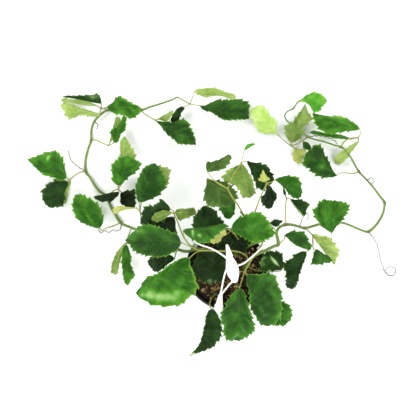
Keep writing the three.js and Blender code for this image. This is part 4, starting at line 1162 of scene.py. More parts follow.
        # A tooth stands square to the margin
        onward = np.gradient((blade.length * place + self.ahead)[:, 0])[:, None]
        outward = np.gradient(self.width[:, 0])[:, None]
        slant = np.maximum(np.hypot(onward, outward), 1e-6)
        lateral = share * self.width - notch * onward / slant
        turn = np.radians(leaflet.roll[0] + (leaflet.roll[1] - leaflet.roll[0]) * place)[..., None]
        rightward = blade.right * np.cos(turn) - blade.up * np.sin(turn)
        upward = blade.up * np.cos(turn) + blade.right * np.sin(turn)
        bow = 4 * place * (1 - place)
        stray = self.drift * self.plain * form.tooth_drift * smooth(0.0, 0.6, share) * self.body
        forward = self.ahead * share
        down = blade.length * place + forward + stray * (1 - place * place) + notch * outward / slant
        middle = (
            blade.start
            + blade.along * down[..., None]
            + blade.up * (leaflet.arch * blade.length * bow)[..., None]
            + blade.right * (leaflet.sway * blade.length * bow)[..., None]
            + rightward * (self.side * lateral)[..., None]
            + upward * lift[..., None]
        )
        columns = np.arange(share.shape[1])
        last = columns[-1]
        on_vein = np.where(phase == 0.0, 1.0, np.where((phase < 0.1) | (phase > 0.9), 0.25, 0.0))
        vein = on_vein * smooth(0.0, 0.01, place) * (1 - 0.65 * share) * (columns > 0)
        midrib = np.select([columns == 0, columns == 1], [1.0, 0.7], 0.0) * (1 - 0.7 * place)
        thick = form.thickness / 2 * (1 - form.margin_thinning * smooth(0.9, 1.0, share))
        top = thick - form.groove * np.maximum(vein, midrib)
        back = thick + np.maximum(form.vein_ridge * vein, form.midrib_ridge * midrib)
        over, below = (back, top) if leaflet.under else (top, back)
        edge = np.select([columns == last, columns == last - 1, columns == last - 2], [1.0, 0.55, 0.1], 0.0)
        grid = np.zeros(lateral.shape)
        return {
            "over": middle + upward * over[..., None],
            "below": middle - upward * below[..., None],
            "rib": np.maximum(vein, 1.25 * midrib) + grid,
            "edge": edge + grid,
            "age_and_painted_light": self.freshness_and_painted_light(down) + grid,
            "flat": np.stack([self.side * lateral, down - forward * 0.9, grid + 31.0 * blade.seed], -1),
        }


@dataclass(frozen=True)
class CompoundLeaf:
    """A petiole and the leaflets at its end, each on its own short stalk."""

    petiole: Route
    leaflets: tuple[Leaflet, ...]
    thickness: float = 1.5
    stubs: tuple[Route, ...] = ()
    stalk_radii: Pair = (1.15, 1.0)
    stub_radii: Pair = (0.7, 0.45)

    def grow(self, name: str, serial: int, wardrobe: Wardrobe) -> None:
        """Builds the leaf as one piece in the place of its solid node.

        Args:
            name: the solid node's name.
            serial: the leaf's number, which seeds its blades.
            wardrobe: the materials.
        """
        draft = Draft(name + "_fine")
        single = len(self.leaflets) == 1
        if not single:
            self.add_stalk(draft, self.petiole, (self.thickness, self.thickness), serial)
        for number, leaflet in enumerate(self.leaflets):
            first = self.petiole if single else (leaflet.start or self.petiole[-1],)
            radii = (self.thickness, self.stalk_radii[1]) if single else self.stalk_radii
            self.add_stalk(draft, first + leaflet.stalk + (leaflet.at,), radii, serial + 0.1 * number)
            Blade(leaflet, serial * 10 + number).add_to(draft)
        for stub in self.stubs:
            places, _ = curve_through(stub, 3.0)
            add_rod(draft, places, np.linspace(*self.stub_radii, len(places)), 6, {"age_and_painted_light": 0.4}, serial)
        draft.shift(CROWN_OFFSET)
        draft.build(wardrobe.blades(), self.slot(), (name,))

    def add_stalk(self, draft: Draft, route: Route, radii: Pair, seed: float) -> None:
        """Adds a stalk with a swollen, browner joint at both of its ends.

        Args:
            draft: the piece.
            route: the stalk's points.
            radii: its radius at the start and at the end.
            seed: a number that shifts its grain.
        """
        places, _ = curve_through(route, 2.5, 3)
        down = travel(places)
        left = down[-1] - down
        swollen = 0.32 * near(down, 3.0) + 0.3 * near(left, 2.6)
        radius = (radii[0] + (radii[1] - radii[0]) * (down / down[-1])) * (0.9 + swollen)
        rust = 0.45 * near(down, 4) + 0.3 * near(left, 3)
        add_rod(draft, places, radius, 10, {"age_and_painted_light": np.minimum(rust - 0.1, 1.0)}, seed)

    def slot(self) -> str:
        """The record's slot that suits most of the leaf's area.

        Returns:
            The slot's name.
        """
        areas = {"leaf": 0.0, "leaf_dark": 0.0, "leaf_pale": 0.0}
        for leaflet in self.leaflets:
            area = math.dist(leaflet.at, leaflet.to) * (max(leaflet.left) + max(leaflet.right))
            areas[leaflet.tone.value.slot] += area
        return max(areas, key=lambda kind: areas[kind])


@dataclass(frozen=True)
class Shoot:
    """A stem with its swollen nodes, its buds and its tendrils."""

    points: Route
    nodes: tuple[int, ...]
    radii: Pair
    tendrils: tuple[Route, ...] = ()
    sides: int = 14
    node_swelling: float = 0.34
    # The turn round the stem, the length and the girth of each node's bud and of its two bracts
    buds: tuple[Point, ...] = ((0.0, 2.6, 0.9), (2.1, 1.6, 0.7), (-2.2, 1.5, 0.7))
    crinkle: float = 0.75
    crinkle_pitch: float = 9.0

    def grow(self, name: str, serial: int, wardrobe: Wardrobe) -> None:
        """Builds the stem and its tendrils in the place of the solid node.

        Args:
            name: the solid node's name.
            serial: the stem's number, which seeds its grain.
            wardrobe: the materials.
        """
        draft = Draft(name + "_fine")
        places, marks = curve_through(self.points, 2.6, 2)
        down = travel(places)
        radius = self.taper(marks)
        knots = [down[int(np.argmin(np.abs(marks - node)))] for node in self.nodes]
        swollen, brown, scar = np.zeros((3, len(places)))
        for knot in knots:
            away = down - knot
            swollen = np.maximum(swollen, self.node_swelling * near(away, 3.6))
            brown = np.maximum(brown, 0.5 * near(away, 4.5))
            scar = np.maximum(scar, 0.55 * near(away + 2.4, 1.3))
        old = 0.12 * (1 - down / down[-1])
        painted = {"age_and_painted_light": np.minimum(brown + old, 1.0), "rib": scar}
        add_rod(draft, places, radius * (1 + swollen), self.sides, painted, serial)
        for k, knot in enumerate(knots):
            self.add_buds(draft, places, int(np.argmin(np.abs(down - knot))), radius, serial + 0.13 * k)
        draft.shift(CROWN_OFFSET)
        draft.build([wardrobe.of(STEM_SKIN)], "stem", (name,))
        if self.tendrils:
            self.add_tendrils(name, serial, wardrobe)

    def taper(self, marks: Array) -> Array:
        """The stem's radius, thinner from node to node and waisted between them.

        Args:
            marks: for each point of the stem the number of route points passed.

        Returns:
            The radius at each point.
        """
        stops = [0, *self.nodes, len(self.points) - 1]
        count = len(stops) - 1
        radius = np.zeros(len(marks))
        for k in range(count):
            size = self.radii[0] + (self.radii[1] - self.radii[0]) * (k / max(1, count - 1))
            inside = (marks >= stops[k]) & (marks <= stops[k + 1])
            waist = smooth(0, 1, np.interp(marks[inside], [stops[k], stops[k + 1]], [0, 1]))
            radius[inside] = size * (1.02 - 0.12 * waist)
        kernel = np.array([1, 2, 3, 2, 1]) / 9
        return np.convolve(np.pad(radius, 2, mode="edge"), kernel, mode="valid")

    def add_buds(self, draft: Draft, places: Array, index: int, radius: Array, seed: float) -> None:
        """Adds a pointed bud and two scale-like bracts at a node.

        Args:
            draft: the piece.
            places: the stem's line.
            index: the node's number on the line.
            radius: the stem's radius along the line.
            seed: a number that turns the bud round the stem.
        """
        first, second = turning_frames(places)
        along = unit(places[min(index + 1, len(places) - 1)] - places[max(index - 1, 0)])
        size = float(radius[index])
        for k, (turn, reach, girth) in enumerate(self.buds):
            angle = math.tau * chance(seed, 3.3) + turn
            out = first[index] * math.cos(angle) + second[index] * math.sin(angle)
            root = places[index] + out * size * 0.9 + along * 0.6
            tip = root + (out * 0.8 + along * 0.75) * reach
            middle = (root + tip) / 2 + out * 0.3
            line, _ = curve_through((tuple(root), tuple(middle), tuple(tip)), 0.9)
            shape = np.sin(math.pi * np.linspace(0.28, 0.95, len(line))) * girth
            add_rod(draft, line, np.maximum(shape, 0.2), 7, {"age_and_painted_light": 1.0}, seed + k)

    def add_tendrils(self, name: str, serial: int, wardrobe: Wardrobe) -> None:
        """Builds the stem's tendrils, wiry and a little zigzag, as a piece of their own.

        Args:
            name: the stem's solid node.
            serial: the stem's number, which seeds the grain.
            wardrobe: the materials.
        """
        draft = Draft(name + "_tendrils")
        for number, route in enumerate(self.tendrils):
            places, _ = curve_through(route, 1.6, 4)
            down = travel(places)
            first, second = turning_frames(places)
            zigzag = np.sin(down * math.tau / self.crinkle_pitch + number) * smooth(0, 12, down)
            places = places + first * (self.crinkle * zigzag)[:, None]
            places = places + second * (0.35 * np.sin(down * 0.55))[:, None]
            radius = 0.95 - 0.25 * down / down[-1] + 0.35 * near(down, 3)
            add_rod(draft, places, radius, 7, {"age_and_painted_light": 0.35 * smooth(0, 60, down)}, serial + number)
        draft.shift(CROWN_OFFSET)
        draft.build([wardrobe.of(TENDRIL_SKIN)], "stem")


# The stems with their nodes, their radii and their tendrils, in millimetres
SHOOTS = {
    "left_shoot": Shoot(((-6, 14, 94), (-10, 17, 114), (-26, 24, 140), (-52, 26, 151), (-72, 22, 150),
        (-92, 27, 142), (-116, 42, 124), (-142, 58, 92), (-165, 70, 55), (-184, 78, 28), (-206, 90, 9),
        (-218, 108, 4), (-228, 126, 4), (-236, 144, 5.2), (-249, 153, 6), (-259, 166, 8), (-268, 181, 6),
        (-276, 192, 5), (-277, 216, 4), (-274, 230, 6), (-270, 244, 6), (-266, 256, 4.6), (-266, 270, 5),
        (-264, 282, 8), (-260, 292, 10), (-254, 300, 10), (-246, 308, 8), (-232, 317, 5), (-200, 319, 5),
        (-166, 316, 7), (-148, 322, 12), (-128, 328, 14), (-108, 335, 13), (-93, 342, 11)),
        (3, 10, 13, 17, 21, 27, 29), (3.1, 2.1), tendrils=(
        ((-206, 90, 9), (-206, 78, 10), (-214, 73, 14), (-222, 75, 10), (-230, 70, 8), (-238, 74, 5),
            (-246, 70, 3), (-252, 76, 2)),
        ((-276, 192, 5), (-288, 200, 6), (-298, 207, 9), (-306, 216, 9), (-310, 228, 4), (-312, 236, 1.6)),
        ((-260, 292, 10), (-256, 290, 16), (-252, 284, 14), (-256, 278, 8)),
    )),
    "right_shoot": Shoot(((34, -8, 94), (38, -7, 114), (47, 3, 143), (60, 14, 162), (78, 21, 175),
        (94, 29, 182), (104, 33, 183), (103, 44, 184), (101, 56, 183), (106, 66, 181), (118, 72, 178),
        (132, 72, 173), (146, 69, 166), (156, 67, 158), (172, 72, 141), (188, 78, 122), (212, 84, 92),
        (234, 85, 64), (252, 81, 42), (268, 76, 22), (288, 72, 6), (298, 79, 3.4), (308, 91, 3.4),
        (316, 105, 3.4), (320, 119, 3.6), (321, 131, 3.4), (312, 143, 4), (300, 159, 6), (286, 175, 8),
        (270, 192, 8), (262, 205, 12), (252, 222, 17), (242, 235, 18), (234, 241, 15), (220, 245, 14),
        (202, 251, 16), (184, 255, 20), (168, 260, 25), (148, 275, 31), (134, 285, 34), (124, 293, 35),
        (121, 301, 35), (126, 310, 35), (138, 316, 35), (145, 326, 34), (150, 331, 33), (160, 331, 32),
        (166, 327, 30)), (6, 10, 13, 20, 25, 29, 33, 37, 43, 45), (3.2, 1.1), tendrils=(
        ((288, 72, 6), (300, 56, 10), (307, 40, 14), (310, 24, 14), (316, 4, 8), (322, -10, 3),
            (336, -16, 2), (343, -4, 2.6), (332, 2, 4.2), (322, -4, 5.6), (326, -14, 6.4)),
        ((146, 69, 166), (152, 86, 172), (158, 94, 174), (164, 90, 172), (160, 82, 170)),
        ((168, 260, 25), (182, 262, 28), (196, 262, 24), (212, 258, 20), (222, 252, 20), (226, 246, 22)),
        ((286, 175, 8), (294, 180, 9), (300, 174, 6), (296, 168, 3)),
    )),
    "back_stem": Shoot(((16, 18, 94), (20, 20, 114), (40, 30, 132), (62, 40, 145), (76, 45, 152),
        (68, 60, 163), (54, 76, 173), (38, 89, 180), (31, 96, 186)), (4, 7), (3, 2)),
    "front_stem": Shoot(((-12, -52, 94), (-17, -58, 110), (-24, -65, 122)), (1,), (2.2, 1.8)),
}
# The leaves, each with its petiole from the stem outwards and its leaflets
# A leaflet's lights and split are painted highlights and painted shade
LEAVES = {
    "left_leaf_1": CompoundLeaf(((-206, 90, 9), (-222, 82, 20), (-234, 78, 26), (-242, 73, 28)), (
        Leaflet((-248, 77, 30), (-297, 144, 22), (9.5, 20, 26, 24, 12), (16, 24, 28, 20, 12), Tone.BRIGHT,
            lights=((0.34, -0.18, 0.169, 0.11, 1.4), (0.8, 0.29, 0.121, 0.65, 0.2),
            (0.99, -0.62, 0.097, 0.89, 0.3), (0.37, -0.76, 0.194, 0.45, -0.2))),
    )),
    "left_leaf_2": CompoundLeaf(((-152, 65, 76), (-160, 80, 84), (-164, 95, 87), (-166, 106, 87)), (
        Leaflet((-168, 124, 86), (-137, 203, 64), (9.5, 18.5, 20, 19, 11), (15.5, 31, 39, 31, 17),
            lights=((0.25, -0.8, 0.238, 0.25, 0.3), (0.48, 0.19, 0.19, 0.42, -0.15))),
        Leaflet((-160, 132, 74), (-105, 191, 54), (8, 18, 26, 30, 18), (5, 10, 14, 15, 3), Tone.PALE,
            stalk=((-164, 122, 80),), under=True, shade=-0.3),
        Leaflet((-173, 113, 84), (-220, 105.5, 40), (1.5, 2, 4, 6.5, 6), (1.5, 2, 4, 6.5, 6), Tone.YELLOW,
            sway=0.09, under=True),
    )),
    "left_leaf_3": CompoundLeaf(((-236, 144, 5.2), (-226, 148, 24), (-217, 152, 40), (-210, 154, 45)), (
        Leaflet((-210, 160, 50), (-190, 220, 40), (16, 19.5, 27, 24, 12), (7, 11, 23, 29, 28), Tone.BRIGHT,
            lights=((0.81, 0.11, 0.191, 0.42, 0.25), (0.19, -0.02, 0.095, 0.34, 0.3),
            (0.48, 0.18, 0.191, 0.37, -0.2), (0.46, 0.92, 0.159, 0.39, -0.3))),
        Leaflet((-206, 162, 38), (-197, 261, 24), (8, 12, 7, 8, 9), (8, 20, 25, 21, 8), Tone.PALE,
            under=True, shade=-0.3),
        Leaflet((-209, 147, 38), (-260, 140, 16), (9, 15, 14, 12, 5), (3, 3, 2, 2, 2), Tone.DEEP),
        Leaflet((-204, 148, 38), (-188, 116, 16), (27, 23, 21, 19, 14), (5.5, 9, 11, 8, 3), Tone.DEEP,
            sweep=0.1),
    )),
    "left_leaf_4": CompoundLeaf(((-276, 192, 5), (-284, 191, 16), (-296, 184, 26), (-307, 174, 30)), (
        Leaflet((-314, 177, 35), (-392, 215, 24), (9, 12, 15, 11, 4), (15, 36, 39, 27, 10), Tone.BRIGHT,
            shade=-0.05, lights=((0.56, 0.59, 0.037, 0.23, 1.3), (0.15, 0.35, 0.093, 0.1, 0.9),
            (0.69, 0.96, 0.116, 0.29, 0.35), (0.42, 1.0, 0.116, 0.21, 0.25),
            (0.87, 0.29, 0.093, 0.65, 0.35), (0.42, 0.0, 0.278, 0.32, -0.2))),
        Leaflet((-312, 170, 28), (-350, 120, 12), (6, 8, 19, 21, 10), (12, 27, 30, 31, 20), Tone.DARK,
            lights=((0.73, 0.99, 0.094, 0.54, 0.5), (0.57, 0.05, 0.188, 0.53, -0.15))),
        Leaflet((-306, 171, 22), (-318, 127.5, 6), (1.5, 1.5, 1.5, 2, 2), (33, 22, 10, 8, 6), Tone.PALE,
            sweep=0, under=True),
    )),
    "left_leaf_5": CompoundLeaf(((-266, 256, 4.6), (-256, 255, 14), (-242, 248, 25), (-230, 242, 30)), (
        Leaflet((-219, 248, 33), (-199, 303, 24), (6, 17, 9, 3.5, 2), (8, 7, 12.5, 10, 7.5), Tone.BRIGHT,
            roll=(10, -20)),
        Leaflet((-228, 249, 27), (-215, 302, 18), (1.5, 1.5, 1.5, 1.5, 1.5), (4, 8, 11, 11, 12), Tone.PALE,
            under=True),
    )),
    "left_leaf_6": CompoundLeaf(((-232, 317, 5), (-238, 318, 16), (-246, 318, 23)), (
        Leaflet((-245, 328, 27), (-322, 342, 22), (2, 2, 1.5, 1.5, 1.5), (16, 12.5, 9, 5.5, 2.5), Tone.DARK,
            lights=((0.12, 0.59, 0.23, 0.51, 0.7),)),
        Leaflet((-248, 305, 23), (-327.5, 325, 10), (6.5, 9.5, 11, 24, 9), (2.5, 4, 5, 7.5, 8.5), Tone.PALE,
            under=True),
        Leaflet((-233, 320, 30), (-166, 318, 22), (7, 23, 18.5, 12, 5), (10.5, 16, 18, 22, 17), Tone.BRIGHT,
            stalk=((-240, 318, 28),), lights=((0.45, 0.36, 0.148, 0.34, 0.45),
            (0.29, -0.23, 0.089, 0.27, 0.4), (0.67, -1.1, 0.296, 0.31, 1.2),
            (0.56, -0.36, 0.237, 0.24, -0.15))),
        Leaflet((-255, 324, 18), (-327, 334.5, 12), (2, 3, 3, 1.5, 2), (3.5, 9, 9, 5, 7), Tone.PALE,
            under=True),
    )),
    "left_leaf_7": CompoundLeaf(((-166, 316, 7), (-158, 307, 18), (-146, 299, 26), (-137, 293, 29)), (
        Leaflet((-134, 291, 31), (-56, 245, 18), (5, 14, 32, 25, 12), (4, 12, 15, 16, 6),
            lights=((0.18, 0.36, 0.109, 0.57, 0.35), (0.74, 0.26, 0.218, 0.44, 0.25),
            (0.35, 0.73, 0.174, 0.47, -0.35))),
        Leaflet((-132, 296, 24), (-102, 313, 18), (1.5, 2, 1.5, 1.5, 1.5), (6, 13, 13, 9, 5), Tone.PALE,
            under=True),
    )),
    "left_leaf_8": CompoundLeaf(((-93, 342, 11), (-86, 337, 20), (-77, 331, 27), (-68, 326, 30)), (
        Leaflet((-80, 320, 24), (-106, 292, 8), (4, 4, 8, 12, 10), (6, 8.5, 8, 7, 4), Tone.DARK,
            stalk=((-76, 322, 27),)),
        Leaflet((-58, 351, 38), (24, 340, 26), (6.5, 10, 12.5, 7.5, 5.5), (8, 9.5, 4, 3, 6.5), Tone.PALE,
            stalk=((-64, 336, 34),), under=True),
        Leaflet((-48, 322, 31), (50, 298, 14), (3, 20, 26, 34, 29), (7, 9.5, 16, 12.5, 5),
            lights=((0.38, -1.1, 0.236, 0.27, 1.1),)),
    )),
    "crown_leaf_left": CompoundLeaf(((47, 3, 143), (42, 13, 160), (24, 20, 175), (-4, 20, 183),
        (-28, 21, 186), (-50, 21, 186)), (
        Leaflet((-84, 37, 187), (-194, 48, 104), (20, 32, 32, 27, 10), (17, 25, 31, 28, 11),
            stalk=((-68, 29, 188),), split=-0.15, lights=((0.57, 0.61, 0.359, 0.33, 0.4),
            (0.83, 0.29, 0.108, 0.72, 0.3), (0.37, -0.53, 0.288, 0.5, -0.3))),
        Leaflet((-68, 6, 188), (-173, -58, 122), (60, 67, 66, 52, 30), (8.5, 10, 9, 14, 5), Tone.BRIGHT,
            stalk=((-62, 12, 188),), sweep=-0.35, lights=((0.86, -0.4, 0.09, 0.24, 0.85),
            (0.74, -0.42, 0.1, 0.19, 0.75), (0.62, -0.52, 0.11, 0.17, 1.0), (0.5, -0.64, 0.1, 0.13, 0.75),
            (0.39, -0.74, 0.1, 0.14, 0.95), (0.74, 0.04, 0.094, 0.97, 0.3), (0.06, 0.13, 0.125, 1.95, -0.3),
            (0.75, 0.74, 0.063, 0.68, -0.3), (0.15, -0.63, 0.094, 0.19, -0.2))),
        Leaflet((-80, 58, 203), (8, 67, 197), (4, 3, 3, 4, 6), (13, 26, 29, 17, 4), stalk=((-68, 31, 190),
            (-77, 44, 198)), fold=6, shade=0.05, lights=((0.2, 0.2, 0.035, 0.41, 1.5),
            (0.34, 0.42, 0.044, 0.11, 1.5), (0.48, 0.08, 0.175, 0.21, 0.4),
            (0.08, 0.24, 0.087, 0.85, 0.25))),
        Leaflet((-48, 20, 178), (4, -26, 150), (6, 20, 32, 26, 15), (32, 40, 41, 36, 22), Tone.DEEP,
            sweep=0, shade=0.3, lights=((0.69, -0.66, 0.165, 0.45, 0.65), (-0.03, 0.38, 0.138, 0.33, 0.35),
            (0.76, 0.75, 0.16, 0.34, 0.35))),
        Leaflet((-42, 52, 156), (-34, 112, 146), (18, 24, 23.5, 20, 11), (24, 34, 38.5, 26, 14), Tone.DARK,
            stalk=((-44, 23, 170), (-40, 37, 158)), shade=0.05),
    ), thickness=1.8),
    "crown_leaf_top": CompoundLeaf(((40, 30, 132), (28, 44, 158), (16, 57, 184), (8, 61, 197)), (
        Leaflet((13, 62, 204), (98, 54, 202), (21, 30.5, 37, 33, 12), (9, 15, 23, 20.5, 12), Tone.BRIGHT,
            lights=((0.1, -0.12, 0.181, 0.94, -0.9), (0.57, -0.86, 0.226, 0.28, 0.35),
            (0.54, 0.08, 0.226, 0.53, 0.15), (0.88, -0.08, 0.068, 0.85, 0.25))),
        Leaflet((6, 54, 178), (-4, 24, 164), (9, 14, 14, 10, 5), (12, 22, 26, 22, 10), Tone.DEEP,
            start=(12, 59, 190)),
        Leaflet((16, 56, 166), (36, 16, 142), (12, 20, 22, 18, 9), (9, 15, 16, 13, 6), Tone.DEEP,
            start=(20, 53, 176)),
        Leaflet((2, 61, 188), (-30, 40, 186), (10, 7, 13, 12, 9), (10, 8, 3, 2, 2), Tone.YELLOW, under=True,
            shade=0.2),
    )),
    "crown_leaf_back": CompoundLeaf(((38, 89, 180), (27, 107, 195), (14, 124, 212), (6, 138, 222)), (
        Leaflet((-34, 171, 228), (12, 204, 212), (15, 11, 7, 5, 4), (6, 12.5, 16, 13.5, 8), Tone.OLIVE,
            stalk=((-16, 150, 226),), fold=22),
        Leaflet((-34, 158, 222), (12, 107, 194), (5, 19.5, 26, 28, 21), (9, 30, 35, 25.5, 11), Tone.OLIVE,
            stalk=((-18, 152, 226),)),
        Leaflet((32, 186, 225), (48, 124, 182), (6, 11, 15, 14.5, 14), (34, 42, 24, 17, 14), Tone.FADED,
            stalk=((18, 166, 224),), under=True),
        Leaflet((44, 192, 216), (92, 152, 184), (3.5, 14.5, 19.5, 17, 12), (5.5, 12, 19.5, 26, 22),
            Tone.DARK, stalk=((18, 166, 224), (34, 189, 222))),
        Leaflet((16, 118, 196), (4, 84, 172), (8, 9.5, 10.5, 13, 6), (12, 20, 22, 16, 6),
            start=(14, 124, 212)),
        Leaflet((39, 214, 225), (59.5, 225.5, 220), (4, 6, 6, 5, 2), (3, 2.4, 1.5, 1.5, 1.5), Tone.LIME,
            stalk=((18, 166, 224), (33, 192, 226), (36, 206, 226))),
    ), thickness=1.7),
    "crown_leaf_right": CompoundLeaf(((54, 76, 173), (58, 92, 187), (68, 120, 206), (82, 150, 214)), (
        Leaflet((77, 152, 217), (74, 175, 213), (11, 9, 6.7, 4, 1.7), (10.5, 7.7, 5.2, 3, 1.7),
            Tone.YELLOW),
        Leaflet((98, 156, 218), (148.5, 125, 202), (11, 20.5, 27, 25, 11.5), (2, 4.5, 8, 12, 9),
            Tone.BRIGHT, stalk=((91, 151, 217),), shade=-0.25),
        Leaflet((86, 146, 209), (92, 104, 184), (5, 11, 12.7, 8, 2), (7, 14, 22, 17, 14), Tone.DEEP),
    )),
    "crown_leaf_low": CompoundLeaf(((-52, 26, 151), (-68, 35, 153), (-80, 51, 154), (-88, 71, 153),
        (-94, 87, 151), (-98, 95, 150)), (
        Leaflet((-96, 98, 150), (-55, 99, 132), (6.5, 8, 8, 9.4, 10), (11.7, 15.5, 11.6, 8.2, 4),
            Tone.FADED, under=True),
        Leaflet((-104, 99, 148), (-142, 86, 130), (4, 7, 9, 9, 5), (4, 8, 10, 9, 5), Tone.FADED,
            under=True),
        Leaflet((-106, 106, 142), (-164.5, 80.5, 98), (8, 20, 24, 20, 10), (24.5, 19.5, 24.5, 24, 8),
            Tone.DARK, stalk=((-100, 102, 146),)),
        Leaflet((-97, 88, 142), (-148, 66, 112), (28, 26, 22, 15, 8), (6, 9, 9, 8, 5), Tone.DEEP),
    )),
    "crown_leaf_under": CompoundLeaf(((-92, 27, 142), (-95, 18, 141), (-97, 11, 138)), (
        Leaflet((-98, 8, 137), (-148, -2, 96), (4.6, 9, 15, 17, 6), (10, 16, 18, 17, 14), Tone.DARK),
    )),
    "crown_leaf_hanging": CompoundLeaf(((-184, 78, 28), (-188, 66, 44), (-191, 56, 54), (-192, 48, 58)), (
        Leaflet((-194, 42, 58), (-191.5, -35.5, 14), (5.8, 10.5, 8, 15.5, 6.5), (6.8, 10.7, 10.7, 9.5, 7),
            Tone.BRIGHT, roll=(6, 0), lights=((0.57, -0.14, 0.123, 0.56, -0.35),
            (0.87, -0.82, 0.123, 0.77, 0.6))),
        Leaflet((-197, 44, 56), (-224, -12, 12), (3, 5, 6, 10, 11), (4, 8, 8.6, 7, 4), Tone.FADED,
            under=True),
    )),
    "crown_leaf_front": CompoundLeaf(((76, 45, 152), (72, 34, 163), (62, 18, 170), (52, 4, 172),
        (38, -20, 170)), (
        Leaflet((29, -50, 162), (27, -150, 100), (11.5, 19.5, 27.5, 32.5, 16), (14.5, 28, 37, 30, 25.5),
            stalk=((34, -34, 168),), arch=0.09, shade=0.05, lights=((0.09, 0.31, 0.171, 0.18, 0.6),
            (0.27, 0.31, 0.152, 0.78, -0.3), (0.89, 0.09, 0.095, 0.85, 0.6), (0.57, 0.96, 0.19, 0.17, 0.25),
            (0.64, -0.87, 0.152, 0.19, 0.3))),
        Leaflet((44, -25, 167), (89, -120, 100), (43, 49, 47, 37, 26.5), (6.5, 14.5, 20.5, 19.5, 16),
            arch=0.09, sweep=-0.1, lights=((0.62, -0.75, 0.217, 0.19, 0.5), (0.17, -0.83, 0.054, 0.13, 0.7),
            (0.88, -0.81, 0.109, 0.29, 0.5), (0.22, -0.14, 0.181, 0.13, 0.3),
            (0.6, -0.07, 0.253, 0.08, -0.45), (0.64, 0.61, 0.181, 0.2, -0.35),
            (0.89, 0.67, 0.072, 0.74, 0.4))),
    ), thickness=1.7, stubs=(((38, -20, 170), (32, -18, 171), (27, -18, 169)),)),
    "crown_leaf_side": CompoundLeaf(((41, -3, 124), (62, -14, 136), (88, -16, 146), (108, -16, 148)), (
        Leaflet((112, -13, 150), (82, 22, 152), (10, 24, 33, 30, 19), (9, 16, 19, 16, 7), Tone.DARK,
            fold=18, sweep=0.2, lights=((0.78, -0.81, 0.338, 0.47, 0.75), (0.43, -0.02, 0.338, 0.11, 2.2))),
    )),
    "crown_leaf_edge": CompoundLeaf(((38, -7, 114), (50, -30, 130), (68, -52, 136), (78, -65, 132)), (
        Leaflet((80, -68, 128), (122, -116, 78), (10, 20, 27, 27.5, 17.5), (8, 16, 22, 23, 13), Tone.BRIGHT,
            shade=-0.1),
    )),
    "crown_leaf_drooping": CompoundLeaf(((-24, -65, 122), (-28, -75, 133), (-28, -86, 134)), (
        Leaflet((-23, -89, 130), (-69, -178, 58), (22, 29.5, 25, 15.5, 4), (10, 10.5, 7.5, 4, 3), Tone.DARK,
            fold=20, sway=-0.1, sweep=0.1, lights=((0.24, 0.03, 0.267, 0.39, 0.35),
            (0.94, -1.1, 0.076, 2.67, 2.4))),
    )),
    "right_leaf_axil": CompoundLeaf(((101, 56, 183), (96, 64, 188), (89, 70, 190)), (
        Leaflet((89, 74, 190), (112.5, 78.6, 189), (3.2, 5.5, 5.5, 3, 1.5), (6, 9, 9.3, 7, 3), Tone.DARK),
    )),
    "right_leaf_oval": CompoundLeaf(((104, 33, 183), (110, 38, 188), (116, 43, 191)), (
        Leaflet((116, 50, 192), (168, 25, 180), (11, 20, 22, 17.5, 9), (1.5, 6, 8, 7.4, 5.8)),
    )),
    "right_leaf_folded": CompoundLeaf(((118, 72, 178), (118, 88, 188), (118, 106, 194), (120, 122, 196)), (
        Leaflet((128, 120, 195), (156, 90, 176), (4.5, 14, 19, 16.5, 6), (3.5, 5, 6, 6, 6.5), Tone.DARK,
            roll=(-10, -15), fold=30, lights=((0.34, 0.74, 0.74, 0.5, 2.2),)),
        Leaflet((118, 126, 196), (114, 142, 194), (1.5, 3, 3, 2.5, 1.5), (1.5, 3, 3, 2.5, 1.5)),
    )),
    "right_leaf_near": CompoundLeaf(((156, 67, 158), (162, 62, 162), (168, 56, 164), (172, 52, 164)), (
        Leaflet((208.6, 57, 164), (217.7, 121.7, 148), (15.5, 32.5, 42.5, 38.5, 31),
            (4.5, 13, 21.7, 27.8, 25), Tone.BRIGHT, stalk=((190, 42, 158), (208, 42, 160)),
            lights=((1.36, -0.87, 0.366, 0.14, -0.5), (1.07, -1.1, 0.122, 0.34, 0.25))),
        Leaflet((170, 54, 160), (215, -1.5, 118), (11, 23, 26.5, 24.5, 13.5), (1.5, 1.5, 1.5, 1.5, 1.5),
            Tone.PALE, under=True),
        Leaflet((159, 20, 160), (125, -46, 94), (4.3, 6, 8, 12.4, 11.5), (14.4, 24, 28.8, 15.5, 8.5),
            Tone.DARK, stalk=((171, 40, 164), (169, 30, 164))),
        Leaflet((176, 24, 162), (210, 4, 148), (4, 3.6, 3, 4.3, 2), (23.4, 28.5, 19.5, 13, 6.5),
            stalk=((171, 40, 164), (171, 30, 164))),
    ), stubs=(((172, 52, 164), (173, 34, 160), (173, 14, 152), (172, -12, 138)),)),
    "right_leaf_upper": CompoundLeaf(((270, 192, 8), (256, 187, 20), (240, 188, 28), (228, 186, 31)), (
        Leaflet((224, 182, 32), (163, 227, 22), (12.3, 23.8, 25.3, 23, 20), (3, 11, 19, 27.7, 27.5),
            lights=((0.44, -0.14, 0.105, 0.24, 0.7), (0.56, 0.9, 0.264, 0.28, -0.45),
            (0.88, -0.96, 0.105, 0.2, 0.4), (0.11, -0.58, 0.053, 0.31, 0.6))),
    )),
    "right_leaf_far": CompoundLeaf(((234, 241, 15), (240, 251, 24), (252, 257, 30), (268, 258, 32)), (
        Leaflet((270, 275, 34), (177, 307, 28), (7.6, 17.6, 28.3, 29.8, 17.6), (7.6, 12.2, 11, 4, 2),
            Tone.BRIGHT, stalk=((272, 267, 33),), shade=0.28, lights=((0.53, 1.1, 0.162, 0.59, 0.7),
            (0.14, 1.1, 0.101, 0.71, 0.7), (0.52, -0.12, 0.283, 0.08, -0.5),
            (0.84, -0.75, 0.101, 0.56, -0.5), (0.15, -0.38, 0.121, 0.39, 0.4))),
        Leaflet((256, 256, 28), (172, 270, 22), (3, 4.5, 5, 4, 4), (2, 4.5, 4, 3, 4), shade=0.4),
